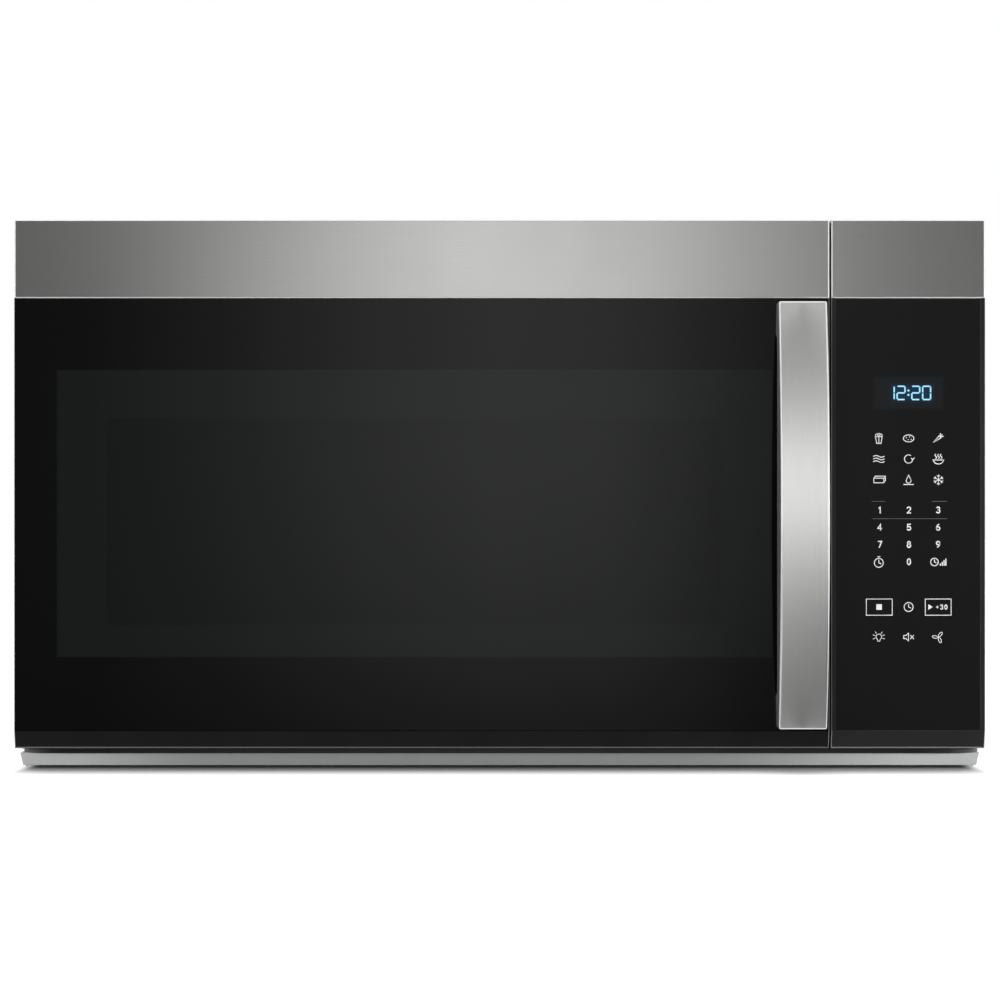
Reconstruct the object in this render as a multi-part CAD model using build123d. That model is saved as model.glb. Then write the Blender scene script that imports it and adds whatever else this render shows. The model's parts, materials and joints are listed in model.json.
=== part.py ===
from build123d import *
import os
from math import cos, pi, radians, sin

# Over-the-range microwave oven, in millimetres. +X is to the right seen from the front, +Y runs
# back to the wall and +Z is up. The source measures heights from the underside of the base;
# export puts the origin on the wall, at half the height of the door's top edge.

# Oven space, from which the cabinet grows outward
cavity_width = 545.0
cavity_height = 262.0
cavity_depth = 340.0
cavity_sheet = 0.8
cavity_corner_radius = 12.0
cavity_flange = 10.0
cavity_floor_height = 62.0
space_above_cavity = 108.0
space_behind_cavity = 10.0

# Door and control panel
door_side_margin = 46.5
door_thickness = 42.5
door_bottom = 18.0
seal_gap = 1.5
panel_gap = 1.5
control_panel_width = 120.5
glass_thickness = 4.0
glass_side_lip = 0.8
glass_edge_bevel = 0.5
trim_height = 61.5
trim_sheet = 0.8
trim_return = 12.0
trim_edge_share = 1.6
lower_band_height = 13.8
lower_band_slope = 4.0
lower_edge_bevel = 1.2
body_edge_radius = 0.7
door_cell_count = 4

# Cabinet sheet metal
frame_sheet = 1.0
wrap_sheet = 1.0
rear_sheet = 1.0
base_sheet = 1.0
cabinet_inset = 1.5
roof_drop = 1.5
side_flange = 20.0
wrap_lower_edge = 3.0
plenum_height = 24.0
plenum_sheet = 1.0

# Base nose and reveal rail under the door
nose_setback = 16.0
nose_top = 13.6
nose_lower_setback = 31.0
nose_lower_height = 2.7
nose_floor_setback = 62.0
rail_setback = 10.0
rail_height = 3.4
rail_corner_radius = 22.0

# Vent grille hidden behind the top of the door
grille_side_margin = 28.5
grille_height = 26.5
grille_depth = 30.0
grille_wall = 3.5
grille_slot_width = 8.0
grille_slot_pitch = 14.0
grille_slot_count = 46
charcoal_width = 340.0
charcoal_depth = 12.0
charcoal_setback = 4.0

# Roof duct outlet and hanging bolts
duct_width = 254.0
duct_depth = 83.0
duct_rear_edge = 20.0
duct_screw_spacing_x = 276.0
duct_screw_spacing_y = 60.0
duct_screw_radius = 1.8
bolt_spacing = 540.0
bolt_setback = 60.0
bolt_radius = 3.2
bolt_nut_radius = 8.0
bolt_nut_length = 12.0

# Slots in the rear panel that hang on the wall plate
wall_slot_spacing = 508.0
wall_slot_height = 44.0
wall_slot_length = 24.0
wall_slot_radius = 3.0

# Window, seen through the door glass
window_width = 560.0
window_height = 224.0
window_offset_x = -6.0
window_centre_height = 201.0
screen_width = 482.0
screen_height = 162.0
screen_centre_height = 195.0
screen_sheet = 0.8
screen_lap = 5.0
inner_glass_thickness = 3.0
inner_glass_margin = 5.5
panel_sheet = 1.0
funnel_front_gap = 4.0

# Choke channel round the door's inner panel
choke_width = 28.0
choke_depth = 22.0
choke_cover_thickness = 2.0
choke_cover_lap = 6.0
door_wall = 3.0
pocket_clearance = 0.5

# Handle
handle_width = 37.5
handle_flare = 3.6
handle_bottom_margin = 2.8
handle_top_margin = 3.6
handle_end_reach = 20.0
handle_reach = 40.0
handle_bar_thickness = 15.0
handle_foot_length = 24.0
handle_foot_taper = 4.0
handle_foot_share = 0.55
handle_edge_radius = 1.8
handle_end_radius = 1.5
handle_right_inset = 3.8
handle_screw_radius = 2.0
handle_screw_length = 22.0
handle_screw_head_radius = 4.0
handle_screw_head_height = 3.0
handle_screw_inset = 13.0
screw_clearance = 0.1

# Hinges
hinge_inset_x = 9.0
hinge_setback = 28.0
hinge_pin_radius = 3.0
hinge_bore_clearance = 0.05
hinge_pin_length = 15.0
hinge_pin_head_radius = 5.0
hinge_pin_head_height = 1.5
hinge_leaf = 1.5
hinge_leaf_front = 6.0
hinge_leaf_left = 6.5
hinge_leaf_right = 16.0
hinge_tab = 1.2
hinge_tab_height = 17.0
hinge_tab_right = 5.0
hinge_lower_gap = 1.0
hinge_upper_drop = 17.5
hinge_notch_clearance = 1.5
hinge_notch_reach = 14.0
hinge_notch_width = 28.0
door_rear_chamfer = 4.0

# Door latch and its three switches
latch_inset = 13.0
latch_thickness = 4.0
latch_clearance = 0.5
latch_travel = 4.0
latch_plate_bottom = 150.0
latch_plate_height = 180.0
latch_plate_depth = 24.0
hook_height = 12.0
hook_reach = 18.0
hook_barb = 3.5
lower_hook_height = 165.0
upper_hook_height = 300.0
catch_gap = 0.4
latch_body_depth = 50.0
latch_body_margin = 22.0
latch_body_wall = 3.0
switch_width = 10.0
switch_depth = 16.0
switch_height = 28.0
plunger_radius = 1.4
plunger_clearance = 0.05
plunger_length = 6.0
plunger_gap = 0.3
plunger_stand_out = 2.5
spring_radius = 1.6
spring_wire_radius = 0.3
spring_turns = 8
spring_length = 16.0

# Turntable
tray_diameter = 305.0
tray_thickness = 5.0
tray_rim_height = 12.0
tray_rim_width = 11.0
roller_radius = 8.0
roller_width = 5.0
roller_track_radius = 92.5
roller_count = 3
roller_axle_radius = 1.5
roller_bore_clearance = 0.05
roller_seat_gap = 0.3
ring_width = 6.0
ring_height = 6.0
ring_gap = 1.5
axle_cap_radius = 2.6
axle_cap_length = 1.0
coupler_radius = 13.0
coupler_arm_length = 24.0
coupler_arm_width = 8.0
coupler_lift = 2.0
drive_shaft_radius = 3.5
drive_shaft_clearance = 0.05
drive_shaft_depth = 10.0
floor_hole_radius = 6.0
turntable_motor_radius = 25.0
turntable_motor_height = 18.0
motor_ear_share = 1.35
motor_ear_width = 12.0
motor_ear_thickness = 1.5

# Magnetron and its waveguide
waveguide_depth = 36.0
waveguide_width = 90.0
waveguide_height = 100.0
waveguide_sheet = 1.0
waveguide_bottom = 205.0
waveguide_rear = 145.0
feed_margin = 20.0
mica_thickness = 1.0
mica_margin = 8.0
antenna_radius = 8.0
antenna_length = 22.0
antenna_gap = 1.0
magnetron_height = 88.0
magnetron_width = 74.0
magnetron_length = 62.0
magnetron_plate = 2.0
fin_count = 8
fin_thickness = 0.8
anode_radius = 20.0
filter_box_length = 26.0

# Component bay, between the oven and the right side
transformer_width = 96.0
transformer_depth = 74.0
transformer_height = 82.0
transformer_left = 28.0
transformer_rear = 118.0
winding_stand_out = 14.0
capacitor_width = 52.0
capacitor_depth = 32.0
capacitor_height = 96.0
capacitor_rear = 240.0
capacitor_left = 92.0
terminal_width = 6.0
terminal_thickness = 1.0
terminal_length = 8.0
diode_radius = 3.5
diode_length = 26.0
noise_board_width = 70.0
noise_board_depth = 68.0
noise_board_thickness = 1.6
noise_board_post = 4.0
noise_board_right_inset = 8.0
noise_board_rear = 160.0
shroud_left = 16.0
shroud_width = 138.0
shroud_height = 206.0
shroud_sheet = 2.0
shroud_rear = 42.0
shroud_collar = 20.0
fan_radius = 50.0
fan_tip_gap = 3.0
fan_hub_radius = 14.0
fan_hub_length = 16.0
fan_blade_count = 5
fan_blade_thickness = 1.6
fan_blade_pitch = 35.0
fan_centre_height = 140.0
fan_motor_width = 60.0
fan_motor_height = 50.0
fan_motor_depth = 22.0
fan_strap_height = 12.0
fan_strap_thickness = 3.0
fan_shaft_radius = 2.5
fan_shaft_clearance = 0.05

# Vent blower above the oven
blower_floor_gap = 2.0
blower_sheet = 1.0
scroll_width = 85.0
scroll_inset = 42.0
scroll_inlet_radius = 30.0
wheel_gap = 10.0
wheel_side_gap = 7.0
wheel_blade_count = 20
wheel_blade_length = 8.0
wheel_blade_thickness = 1.2
wheel_plate = 1.5
wheel_blade_tilt = 12.0
blower_shaft_radius = 4.0
blower_shaft_clearance = 0.05
blower_motor_length = 60.0
blower_motor_radius = 36.0
blower_foot_inset = 8.0

# Lamps, filters and the cord inlet
lamp_drop = 39.0
lamp_rear = 100.0
lamp_socket = 26.0
lamp_socket_depth = 14.0
lamp_bulb_radius = 10.0
lamp_bulb_gap = 1.0
lamp_bracket_thickness = 1.0
lamp_hole_radius = 2.0
lamp_hole_pitch = 6.5
lamp_hole_rows = 5
cooktop_lens_width = 90.0
cooktop_lens_depth = 50.0
cooktop_lens_setback = 92.0
cooktop_lens_lip = 4.0
cooktop_lens_thickness = 2.0
cooktop_bulb_radius = 5.5
cooktop_bulb_length = 46.0
cooktop_socket_length = 16.0
cooktop_socket_width = 16.0
filter_width = 267.0
filter_depth = 127.0
filter_thickness = 9.0
filter_frame = 8.0
filter_recess = 2.5
filter_spacing = 370.0
filter_rear = 52.0
filter_front_ledge = 3.0
filter_rear_ledge = 12.0
filter_side_ledge = 4.0
filter_slide = 8.0
filter_seat_gap = 0.3
filter_tab_width = 24.0
filter_tab_depth = 10.0
intake_slot_count = 7
intake_slot_length = 60.0
intake_slot_width = 4.0
intake_slot_pitch = 9.0
grommet_radius = 13.0
grommet_hole_clearance = 0.1
grommet_bore = 5.0
grommet_flange = 3.0
grommet_flange_height = 1.4
grommet_right_inset = 70.0
grommet_rear = 60.0

# Control panel internals
panel_glass_left_lip = 3.0
panel_glass_right_lip = 3.4
panel_wall = 2.5
display_width = 56.0
display_height = 27.0
display_depth = 12.0
display_left = 32.5
display_top = 310.0
board_thickness = 1.6
board_margin = 9.0
board_bottom = 120.0
board_height = 240.0
board_setback = 20.0
board_post_radius = 3.0
relay_count = 4
relay_width = 24.0
relay_depth = 14.0
relay_height = 18.0
relay_pitch = 24.0
relay_inset = 10.0
connector_width = 20.0
connector_depth = 9.0
connector_height = 40.0
connector_inset = 14.0
bay_opening_margin = 12.0
bay_opening_bottom = 40.0

# Screws of the cabinet
screw_radius = 1.7
screw_length = 7.0
screw_head_radius = 3.6
screw_head_height = 1.2
screw_inset = 8.0

# Places worked out from the sizes above
door_width = cavity_width + 2 * door_side_margin
overall_width = door_width + panel_gap + control_panel_width
left = -overall_width / 2
right = overall_width / 2
door_right = left + door_width
panel_left = door_right + panel_gap
cavity_x = (left + door_right) / 2
cavity_left = cavity_x - cavity_width / 2
cavity_right = cavity_x + cavity_width / 2
cavity_floor = cavity_floor_height
cavity_ceiling = cavity_floor + cavity_height
lamp_height = cavity_ceiling - lamp_drop
door_top = cavity_ceiling + space_above_cavity
origin_height = door_top / 2
cabinet_half = overall_width / 2 - cabinet_inset
inside_half = cabinet_half - wrap_sheet
grille_half_width = cabinet_half - grille_side_margin
cavity_rear = -space_behind_cavity - rear_sheet
cavity_front = cavity_rear - cavity_depth
frame_face = cavity_front - frame_sheet
door_rear = frame_face - seal_gap
front = door_rear - door_thickness
glass_rear = front + glass_thickness
roof_top = door_top - roof_drop
roof_under = roof_top - wrap_sheet
frame_top = roof_under - grille_height
glass_bottom = door_bottom + lower_band_height
glass_top = door_top - trim_height
handle_bottom = glass_bottom + handle_bottom_margin
handle_length = glass_top - handle_top_margin - handle_bottom
body_rear = door_rear - choke_cover_thickness
cavity_roof = cavity_ceiling + cavity_sheet
plenum_top = plenum_height + plenum_sheet
hinge_x = left + hinge_inset_x
hinge_y = front + hinge_setback
upper_leaf = door_top - hinge_upper_drop
lower_leaf = door_bottom - hinge_lower_gap - hinge_leaf
tray_y = cavity_front + cavity_depth / 2
latch_x = door_right - latch_inset
handle_x = door_right - handle_right_inset - handle_width / 2
handle_screw_heights = (
    handle_bottom + handle_screw_inset,
    handle_bottom + handle_length - handle_screw_inset,
)
pocket_left = cavity_left - choke_width - pocket_clearance
pocket_right = cavity_right + choke_width + pocket_clearance
pocket_bottom = cavity_floor - choke_width - pocket_clearance
pocket_top = cavity_ceiling + choke_width + pocket_clearance
bay_left = cavity_right + cavity_sheet
wheel_centre_height = cavity_floor + roller_seat_gap + roller_radius
tray_underside = wheel_centre_height + roller_radius + roller_seat_gap
scroll_radius = (roof_under - cavity_roof - 2 * blower_floor_gap) / 2
scroll_height = cavity_roof + blower_floor_gap + scroll_radius
scroll_y = -duct_rear_edge - scroll_radius
wheel_radius = scroll_radius - wheel_gap
fan_x = bay_left + shroud_left + shroud_width / 2
duct_y = -duct_rear_edge - duct_depth / 2
window_x = cavity_x + window_offset_x


def block(x_low, x_high, y_low, y_high, z_low, z_high):
    """Box between two opposite corners."""
    middle = Pos((x_low + x_high) / 2, (y_low + y_high) / 2, (z_low + z_high) / 2)
    return middle * Box(x_high - x_low, y_high - y_low, z_high - z_low)


def rod(start, direction, radius, length):
    """Cylinder that runs from its start along a direction."""
    return Solid.make_cylinder(radius, length, Plane(origin=start, z_dir=direction))


def run_along_x(outline, x_low, x_high):
    """Solid whose (y, z) outline runs along X."""
    face = Plane.YZ * make_face(Polyline(*outline, close=True))
    return Pos(x_low, 0, 0) * extrude(face, x_high - x_low)


def thick_line(points, thickness):
    """Outline of an open line that has its thickness on the left."""
    line = [Vector(*point) for point in points]
    normals = []
    for start, end in zip(line, line[1:]):
        along = (end - start).normalized()
        normals.append(Vector(-along.Y, along.X))
    shifted = []
    for index, point in enumerate(line):
        before = normals[max(index - 1, 0)]
        after = normals[min(index, len(normals) - 1)]
        shifted.append(point + (before + after) * (thickness / (1 + before.dot(after))))
    return [(p.X, p.Y) for p in line + shifted[::-1]]


def screw(start, direction):
    """Pan-head screw whose head lies outside the surface that it starts on."""
    inward = Vector(*direction)
    seat = Vector(*start)
    head = rod(seat - inward * screw_head_height, inward, screw_head_radius, screw_head_height)
    return head + rod(seat, inward, screw_radius, screw_length)


def cabinet_screw_places():
    """Where the cabinet's screws start, and which way each runs."""
    places = []
    for side in (-1, 1):
        for height in (plenum_height / 2, cavity_floor + screw_inset, frame_top - screw_inset):
            places.append(((side * cabinet_half, -screw_inset, height), (-side, 0, 0)))
            if height > plenum_height:
                places.append(((side * cabinet_half, frame_face + screw_inset, height), (-side, 0, 0)))
    for x in (-inside_half / 2, 0, inside_half / 2):
        places.append(((x, -screw_inset, roof_top), (0, 0, -1)))
    return places


def screw_clearances():
    """Shanks of the cabinet's screws, as tools that bore the sheets."""
    shanks = []
    for start, direction in cabinet_screw_places():
        outside = Vector(*start) - Vector(*direction)
        bore_radius = screw_radius + screw_clearance
        shanks.append(rod(outside, Vector(*direction), bore_radius, screw_length + 2))
    return shanks


def cabinet_wrap():
    """Roof and both sides, with the duct outlet, its screw holes and the hanging nuts."""
    outer = block(-cabinet_half, cabinet_half, frame_face, 0, wrap_lower_edge, roof_top)
    shell = outer - block(-inside_half, inside_half, frame_face - 1, 1, 0, roof_under)
    shell -= block(
        -grille_half_width, grille_half_width,
        frame_face - 1, frame_face + grille_depth, roof_under - 1, roof_top + 1,
    )
    shell -= block(
        -duct_width / 2, duct_width / 2,
        duct_y - duct_depth / 2, duct_y + duct_depth / 2, roof_under - 1, roof_top + 1,
    )
    for x in (-duct_screw_spacing_x / 2, duct_screw_spacing_x / 2):
        for y in (duct_y - duct_screw_spacing_y / 2, duct_y + duct_screw_spacing_y / 2):
            shell -= rod((x, y, roof_under - 1), (0, 0, 1), duct_screw_radius, 3 * wrap_sheet)
    for x in (-bolt_spacing / 2, bolt_spacing / 2):
        nut_start = (x, frame_face + bolt_setback, roof_under - bolt_nut_length)
        shell += rod(nut_start, (0, 0, 1), bolt_nut_radius, bolt_nut_length)
        shell -= rod(nut_start, (0, 0, 1), bolt_radius, bolt_nut_length + 2 * wrap_sheet)
    shell -= rod(
        (right - grommet_right_inset, -grommet_rear, roof_under - 1), (0, 0, 1),
        grommet_radius + grommet_hole_clearance, 3 * wrap_sheet,
    )
    return shell - screw_clearances()


def rear_panel():
    """Back plate with folded edges and the slots that hang on the wall plate."""
    plate = block(-inside_half, inside_half, -rear_sheet, 0, 0, roof_under)
    for side in (-1, 1):
        x_pair = sorted((side * inside_half, side * (inside_half - rear_sheet)))
        plate += block(*x_pair, -side_flange, -rear_sheet, plenum_top, roof_under)
    plate += block(
        -inside_half, inside_half, -side_flange, -rear_sheet, roof_under - rear_sheet, roof_under
    )
    for x in (-wall_slot_spacing / 2, wall_slot_spacing / 2):
        slot = Plane.XZ * SlotOverall(wall_slot_length, 2 * wall_slot_radius)
        cutter = extrude(slot, rear_sheet, both=True)
        plate -= Pos(x, 0, wall_slot_height) * cutter
    clear_of_duct = block(
        -duct_width / 2, duct_width / 2,
        duct_y - duct_depth / 2, duct_y + duct_depth / 2, roof_under - side_flange, roof_top,
    )
    return plate - clear_of_duct - screw_clearances()


def filter_openings():
    """The two grease filter openings in the base, as (x, y) spans of their edges."""
    rear = -filter_rear - filter_slide - filter_depth
    spans = []
    for side in (-1, 1):
        centre = side * filter_spacing / 2
        half = filter_width / 2 - filter_side_ledge
        y_low = rear + filter_front_ledge
        y_high = -filter_rear - filter_rear_ledge
        spans.append((centre - half, centre + half, y_low, y_high))
    return spans


def base_plate():
    """Folded underside: upstand, shelf, sloping nose and floor, closed at both ends."""
    profile = [
        (frame_face, plenum_height),
        (frame_face, nose_top),
        (front + nose_setback, nose_top),
        (front + nose_lower_setback, nose_lower_height),
        (front + nose_floor_setback, 0),
        (-rear_sheet, 0),
    ]
    plate = run_along_x(thick_line(profile, base_sheet), -inside_half, inside_half)
    nose_end = profile[1:5] + [(front + nose_floor_setback, nose_top)]
    for side in (-1, 1):
        x_pair = sorted((side * inside_half, side * (inside_half - base_sheet)))
        plate += run_along_x(nose_end, *x_pair)
        plate += block(*x_pair, frame_face, -rear_sheet, base_sheet / 2, plenum_height)
    plate += block(
        -inside_half, inside_half, -rear_sheet - base_sheet, -rear_sheet, base_sheet / 2, plenum_height
    )
    for x_low, x_high, y_low, y_high in filter_openings():
        plate -= block(x_low, x_high, y_low, y_high, -1, 2 * base_sheet)
    lens_y = front + cooktop_lens_setback
    plate -= block(
        -cooktop_lens_width / 2, cooktop_lens_width / 2,
        lens_y, lens_y + cooktop_lens_depth, -1, 2 * base_sheet,
    )
    for index in range(intake_slot_count):
        y = lens_y + index * intake_slot_pitch
        plate -= block(
            bay_left, bay_left + intake_slot_length, y, y + intake_slot_width, -1, 2 * base_sheet
        )
    return plate - screw_clearances()


def plenum_panel():
    """Inner floor over the filter space, open at the rear left, where the air rises."""
    panel = block(-inside_half, inside_half, cavity_front, -rear_sheet, plenum_height, plenum_top)
    rise_y = -side_flange - filter_depth
    panel -= block(
        -inside_half + 2 * rear_sheet, cavity_left, rise_y, -side_flange, plenum_height - 1, plenum_top + 1
    )
    for index in range(intake_slot_count):
        y = front + cooktop_lens_setback + index * intake_slot_pitch
        panel -= block(
            bay_left, bay_left + intake_slot_length,
            y, y + intake_slot_width, plenum_height - 1, plenum_top + 1,
        )
    return panel


def reveal_rail():
    """Dark rail on the base's shelf, in the gap under the door."""
    rail = block(
        -cabinet_half, cabinet_half, front + rail_setback, frame_face, nose_top, nose_top + rail_height
    )
    front_corners = rail.edges().filter_by(Axis.Z).group_by(Axis.Y)[0]
    rail = fillet(front_corners, rail_corner_radius)
    hinge_pocket = block(
        left - 1, hinge_x + hinge_leaf_right + 1,
        hinge_y - hinge_leaf_front - 2, frame_face + 1, nose_top - 1, nose_top + rail_height + 1,
    )
    return rail - hinge_pocket


def hook_spans():
    """Height ranges of the two latch hooks at rest."""
    return [(low, low + hook_height) for low in (lower_hook_height, upper_hook_height)]


def front_frame():
    """Face sheet round the oven's mouth, with the bay opening, latch slots and flanges."""
    sheet = block(-inside_half, inside_half, frame_face, cavity_front, plenum_height, roof_under)
    sheet -= block(
        -grille_half_width, grille_half_width, frame_face - 1, cavity_front + 1, frame_top, roof_under + 1
    )
    sheet -= block(
        cavity_left, cavity_right, frame_face - 1, cavity_front + 1, cavity_floor, cavity_ceiling
    )
    sheet -= block(
        panel_left + bay_opening_margin, inside_half - bay_opening_margin,
        frame_face - 1, cavity_front + 1, bay_opening_bottom, frame_top - bay_opening_margin,
    )
    for low, high in hook_spans():
        sheet -= block(
            latch_x - latch_thickness, latch_x + latch_thickness + 1, frame_face - 1, cavity_front + 1,
            low - hook_barb - 2, high + latch_travel + 2,
        )
    for side in (-1, 1):
        x_pair = sorted((side * inside_half, side * (inside_half - frame_sheet)))
        sheet += block(*x_pair, cavity_front, cavity_front + side_flange, plenum_top, roof_under)
    sheet += block(
        -grille_half_width, grille_half_width,
        cavity_front, cavity_front + side_flange, frame_top - frame_sheet, frame_top,
    )
    return sheet - screw_clearances()


def vent_grille():
    """Sloping louvre between the frame's top edge and the roof."""
    outline = [
        (frame_face, frame_top),
        (frame_face + grille_wall, frame_top),
        (frame_face + grille_depth + grille_wall, roof_under),
        (frame_face + grille_depth, roof_under),
    ]
    grille = run_along_x(outline, -grille_half_width, grille_half_width)
    first = -(grille_slot_count - 1) * grille_slot_pitch / 2
    slots = []
    for index in range(grille_slot_count):
        x = first + index * grille_slot_pitch
        slots.append(
            block(
                x - grille_slot_width / 2, x + grille_slot_width / 2, frame_face - 1,
                frame_face + grille_depth + 2 * grille_wall, frame_top + grille_wall, roof_under - grille_wall,
            )
        )
    return grille - slots


def charcoal_filter():
    """Filter block behind the grille, standing on the oven's roof."""
    y_low = cavity_front + side_flange + charcoal_setback
    body = block(
        -charcoal_width / 2, charcoal_width / 2, y_low, y_low + charcoal_depth,
        cavity_roof, frame_top - frame_sheet,
    )
    return fillet(body.edges().filter_by(Axis.Y), charcoal_depth / 4)


def oven_cavity():
    """Five-walled steel box with a front flange, feed window, lamp holes and floor hole."""
    outer = block(
        cavity_left - cavity_sheet, cavity_right + cavity_sheet, cavity_front,
        cavity_rear + cavity_sheet, cavity_floor - cavity_sheet, cavity_roof,
    )
    rear_corners = outer.edges().filter_by(Axis.Z).group_by(Axis.Y)[-1]
    outer = fillet(rear_corners, cavity_corner_radius + cavity_sheet)
    inner = block(
        cavity_left, cavity_right, cavity_front - cavity_flange, cavity_rear, cavity_floor, cavity_ceiling
    )
    inner = fillet(inner.edges().filter_by(Axis.Z).group_by(Axis.Y)[-1], cavity_corner_radius)
    flange = block(
        cavity_left - cavity_flange, cavity_right + cavity_flange, cavity_front,
        cavity_front + cavity_sheet, cavity_floor - cavity_flange, cavity_ceiling + cavity_flange,
    )
    shell = outer + flange - inner
    shell -= block(
        cavity_right - 1, bay_left + 1, -waveguide_rear - waveguide_width + feed_margin,
        -waveguide_rear - feed_margin, waveguide_bottom + feed_margin,
        waveguide_bottom + waveguide_height - feed_margin,
    )
    shell -= rod(
        (cavity_x, tray_y, cavity_floor - 2 * cavity_sheet), (0, 0, 1), floor_hole_radius, 3 * cavity_sheet
    )
    middle = (lamp_hole_rows - 1) / 2
    lamp_holes = []
    for row in range(lamp_hole_rows):
        for column in range(lamp_hole_rows):
            y = -lamp_rear + (column - middle) * lamp_hole_pitch
            z = lamp_height + (row - middle) * lamp_hole_pitch
            lamp_holes.append(rod((cavity_right - 1, y, z), (1, 0, 0), lamp_hole_radius, 3 * cavity_sheet))
    return shell - lamp_holes


def waveguide_cover():
    """Mica sheet over the feed window, inside the oven."""
    return block(
        cavity_right - mica_thickness, cavity_right,
        -waveguide_rear - waveguide_width + mica_margin, -waveguide_rear - mica_margin,
        waveguide_bottom + mica_margin, waveguide_bottom + waveguide_height - mica_margin,
    )


def waveguide():
    """Sheet duct between magnetron and oven, open to the oven, with the antenna's hole."""
    y_low = -waveguide_rear - waveguide_width
    z_high = waveguide_bottom + waveguide_height
    duct = block(bay_left, bay_left + waveguide_depth, y_low, -waveguide_rear, waveguide_bottom, z_high)
    duct -= block(
        bay_left - 1, bay_left + waveguide_depth - waveguide_sheet, y_low + waveguide_sheet,
        -waveguide_rear - waveguide_sheet, waveguide_bottom + waveguide_sheet, z_high - waveguide_sheet,
    )
    centre = (bay_left, -waveguide_rear - waveguide_width / 2, waveguide_bottom + waveguide_height / 2)
    return duct - rod(centre, (1, 0, 0), antenna_radius + antenna_gap, 2 * waveguide_depth)


def magnetron():
    """Yoke with anode and cooling fins, antenna into the waveguide, filter box outside."""
    x = bay_left + waveguide_depth
    y = -waveguide_rear - waveguide_width / 2
    z = waveguide_bottom + waveguide_height / 2
    half_w = magnetron_width / 2
    half_h = magnetron_height / 2
    yoke = block(x, x + magnetron_length, y - half_w, y + half_w, z - half_h, z + half_h)
    yoke -= block(
        x + magnetron_plate, x + magnetron_length - magnetron_plate,
        y - half_w - 1, y + half_w + 1, z - half_h + magnetron_plate, z + half_h - magnetron_plate,
    )
    yoke += rod((x, y, z), (1, 0, 0), anode_radius, magnetron_length)
    fin_room = magnetron_length - 2 * magnetron_plate
    for index in range(fin_count):
        fin_x = x + magnetron_plate + (index + 1) * fin_room / (fin_count + 1)
        yoke += block(
            fin_x, fin_x + fin_thickness, y - half_w + magnetron_plate, y + half_w - magnetron_plate,
            z - half_h + magnetron_plate, z + half_h - magnetron_plate,
        )
    yoke += rod((x, y, z), (-1, 0, 0), antenna_radius, antenna_length)
    box_x = x + magnetron_length
    quarter = magnetron_height / 4
    return yoke + block(
        box_x, box_x + filter_box_length, y - half_w / 2, y + half_w / 2, z - quarter, z + quarter
    )


def high_voltage_transformer():
    """Laminated core with primary and secondary windings standing out of its faces."""
    x_low = bay_left + transformer_left
    y_high = -transformer_rear
    core = block(x_low, x_low + transformer_width, y_high - transformer_depth, y_high, plenum_top,
                 plenum_top + transformer_height)
    margin = winding_stand_out
    windings = block(
        x_low + margin, x_low + transformer_width - margin,
        y_high - transformer_depth - margin, y_high + margin,
        plenum_top + margin, plenum_top + transformer_height - margin,
    )
    windings = fillet(windings.edges().filter_by(Axis.Z), margin / 2)
    return core + windings


def high_voltage_capacitor():
    """Oval can standing on the inner floor, with two terminals."""
    x_low = bay_left + capacitor_left
    can_outline = SlotOverall(capacitor_width, capacitor_depth)
    centre = Pos(x_low + capacitor_width / 2, -capacitor_rear - capacitor_depth / 2, plenum_top)
    can = centre * extrude(can_outline, capacitor_height)
    terminal = Box(terminal_width, terminal_thickness, 2 * terminal_length)
    for side in (-1, 1):
        terminal_x = side * capacitor_width / 5
        can += centre * Pos(terminal_x, 0, capacitor_height) * terminal
    return can


def high_voltage_diode():
    """Diode body on the inner floor, between the capacitor and the chassis."""
    x = bay_left + capacitor_left - diode_radius * 4
    start = (x, -capacitor_rear - diode_length, plenum_top + diode_radius)
    return rod(start, (0, 1, 0), diode_radius, diode_length)


def noise_filter_board():
    """Mains filter board on posts above the oven's roof."""
    x_high = cavity_right - noise_board_right_inset
    x_low = x_high - noise_board_width
    y_high = -noise_board_rear
    y_low = y_high - noise_board_depth
    z_low = cavity_roof + noise_board_post
    board = block(x_low, x_high, y_low, y_high, z_low, z_low + noise_board_thickness)
    inset = noise_board_post
    for x in (x_low + inset, x_high - inset):
        for y in (y_low + inset, y_high - inset):
            board += rod((x, y, cavity_roof), (0, 0, 1), noise_board_post / 2, noise_board_post)
    centre = ((x_low + x_high) / 2, (y_low + y_high) / 2, z_low)
    choke_coil = rod(centre, (0, 0, 1), noise_board_width / 5, noise_board_width / 3)
    return board + choke_coil


def cooling_fan_shroud():
    """Plate with a round collar that ducts the cooling fan's air forward."""
    x_low = bay_left + shroud_left
    y_rear = -shroud_rear
    hole = fan_radius + fan_tip_gap
    plate = block(
        x_low, x_low + shroud_width, y_rear - shroud_sheet, y_rear, plenum_top, plenum_top + shroud_height
    )
    plate += rod((fan_x, y_rear, fan_centre_height), (0, -1, 0), hole + shroud_sheet, shroud_collar)
    return plate - rod((fan_x, y_rear + 1, fan_centre_height), (0, -1, 0), hole, shroud_collar + 2)


def cooling_fan_motor():
    """Shaded-pole motor on a strap across the shroud's hole."""
    strap_length = 2 * (fan_radius + fan_tip_gap) + 4 * shroud_sheet
    strap_rear = -shroud_rear + fan_strap_thickness
    strap = block(
        fan_x - strap_length / 2, fan_x + strap_length / 2, -shroud_rear, strap_rear,
        fan_centre_height - fan_strap_height / 2, fan_centre_height + fan_strap_height / 2,
    )
    stator = block(
        fan_x - fan_motor_width / 2, fan_x + fan_motor_width / 2, strap_rear, strap_rear + fan_motor_depth,
        fan_centre_height - fan_motor_height / 2, fan_centre_height + fan_motor_height / 2,
    )
    bore = rod(
        (fan_x, -shroud_rear - 1, fan_centre_height), (0, 1, 0),
        fan_shaft_radius + fan_shaft_clearance, fan_strap_thickness + fan_motor_depth / 2,
    )
    return strap + stator - bore


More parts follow.
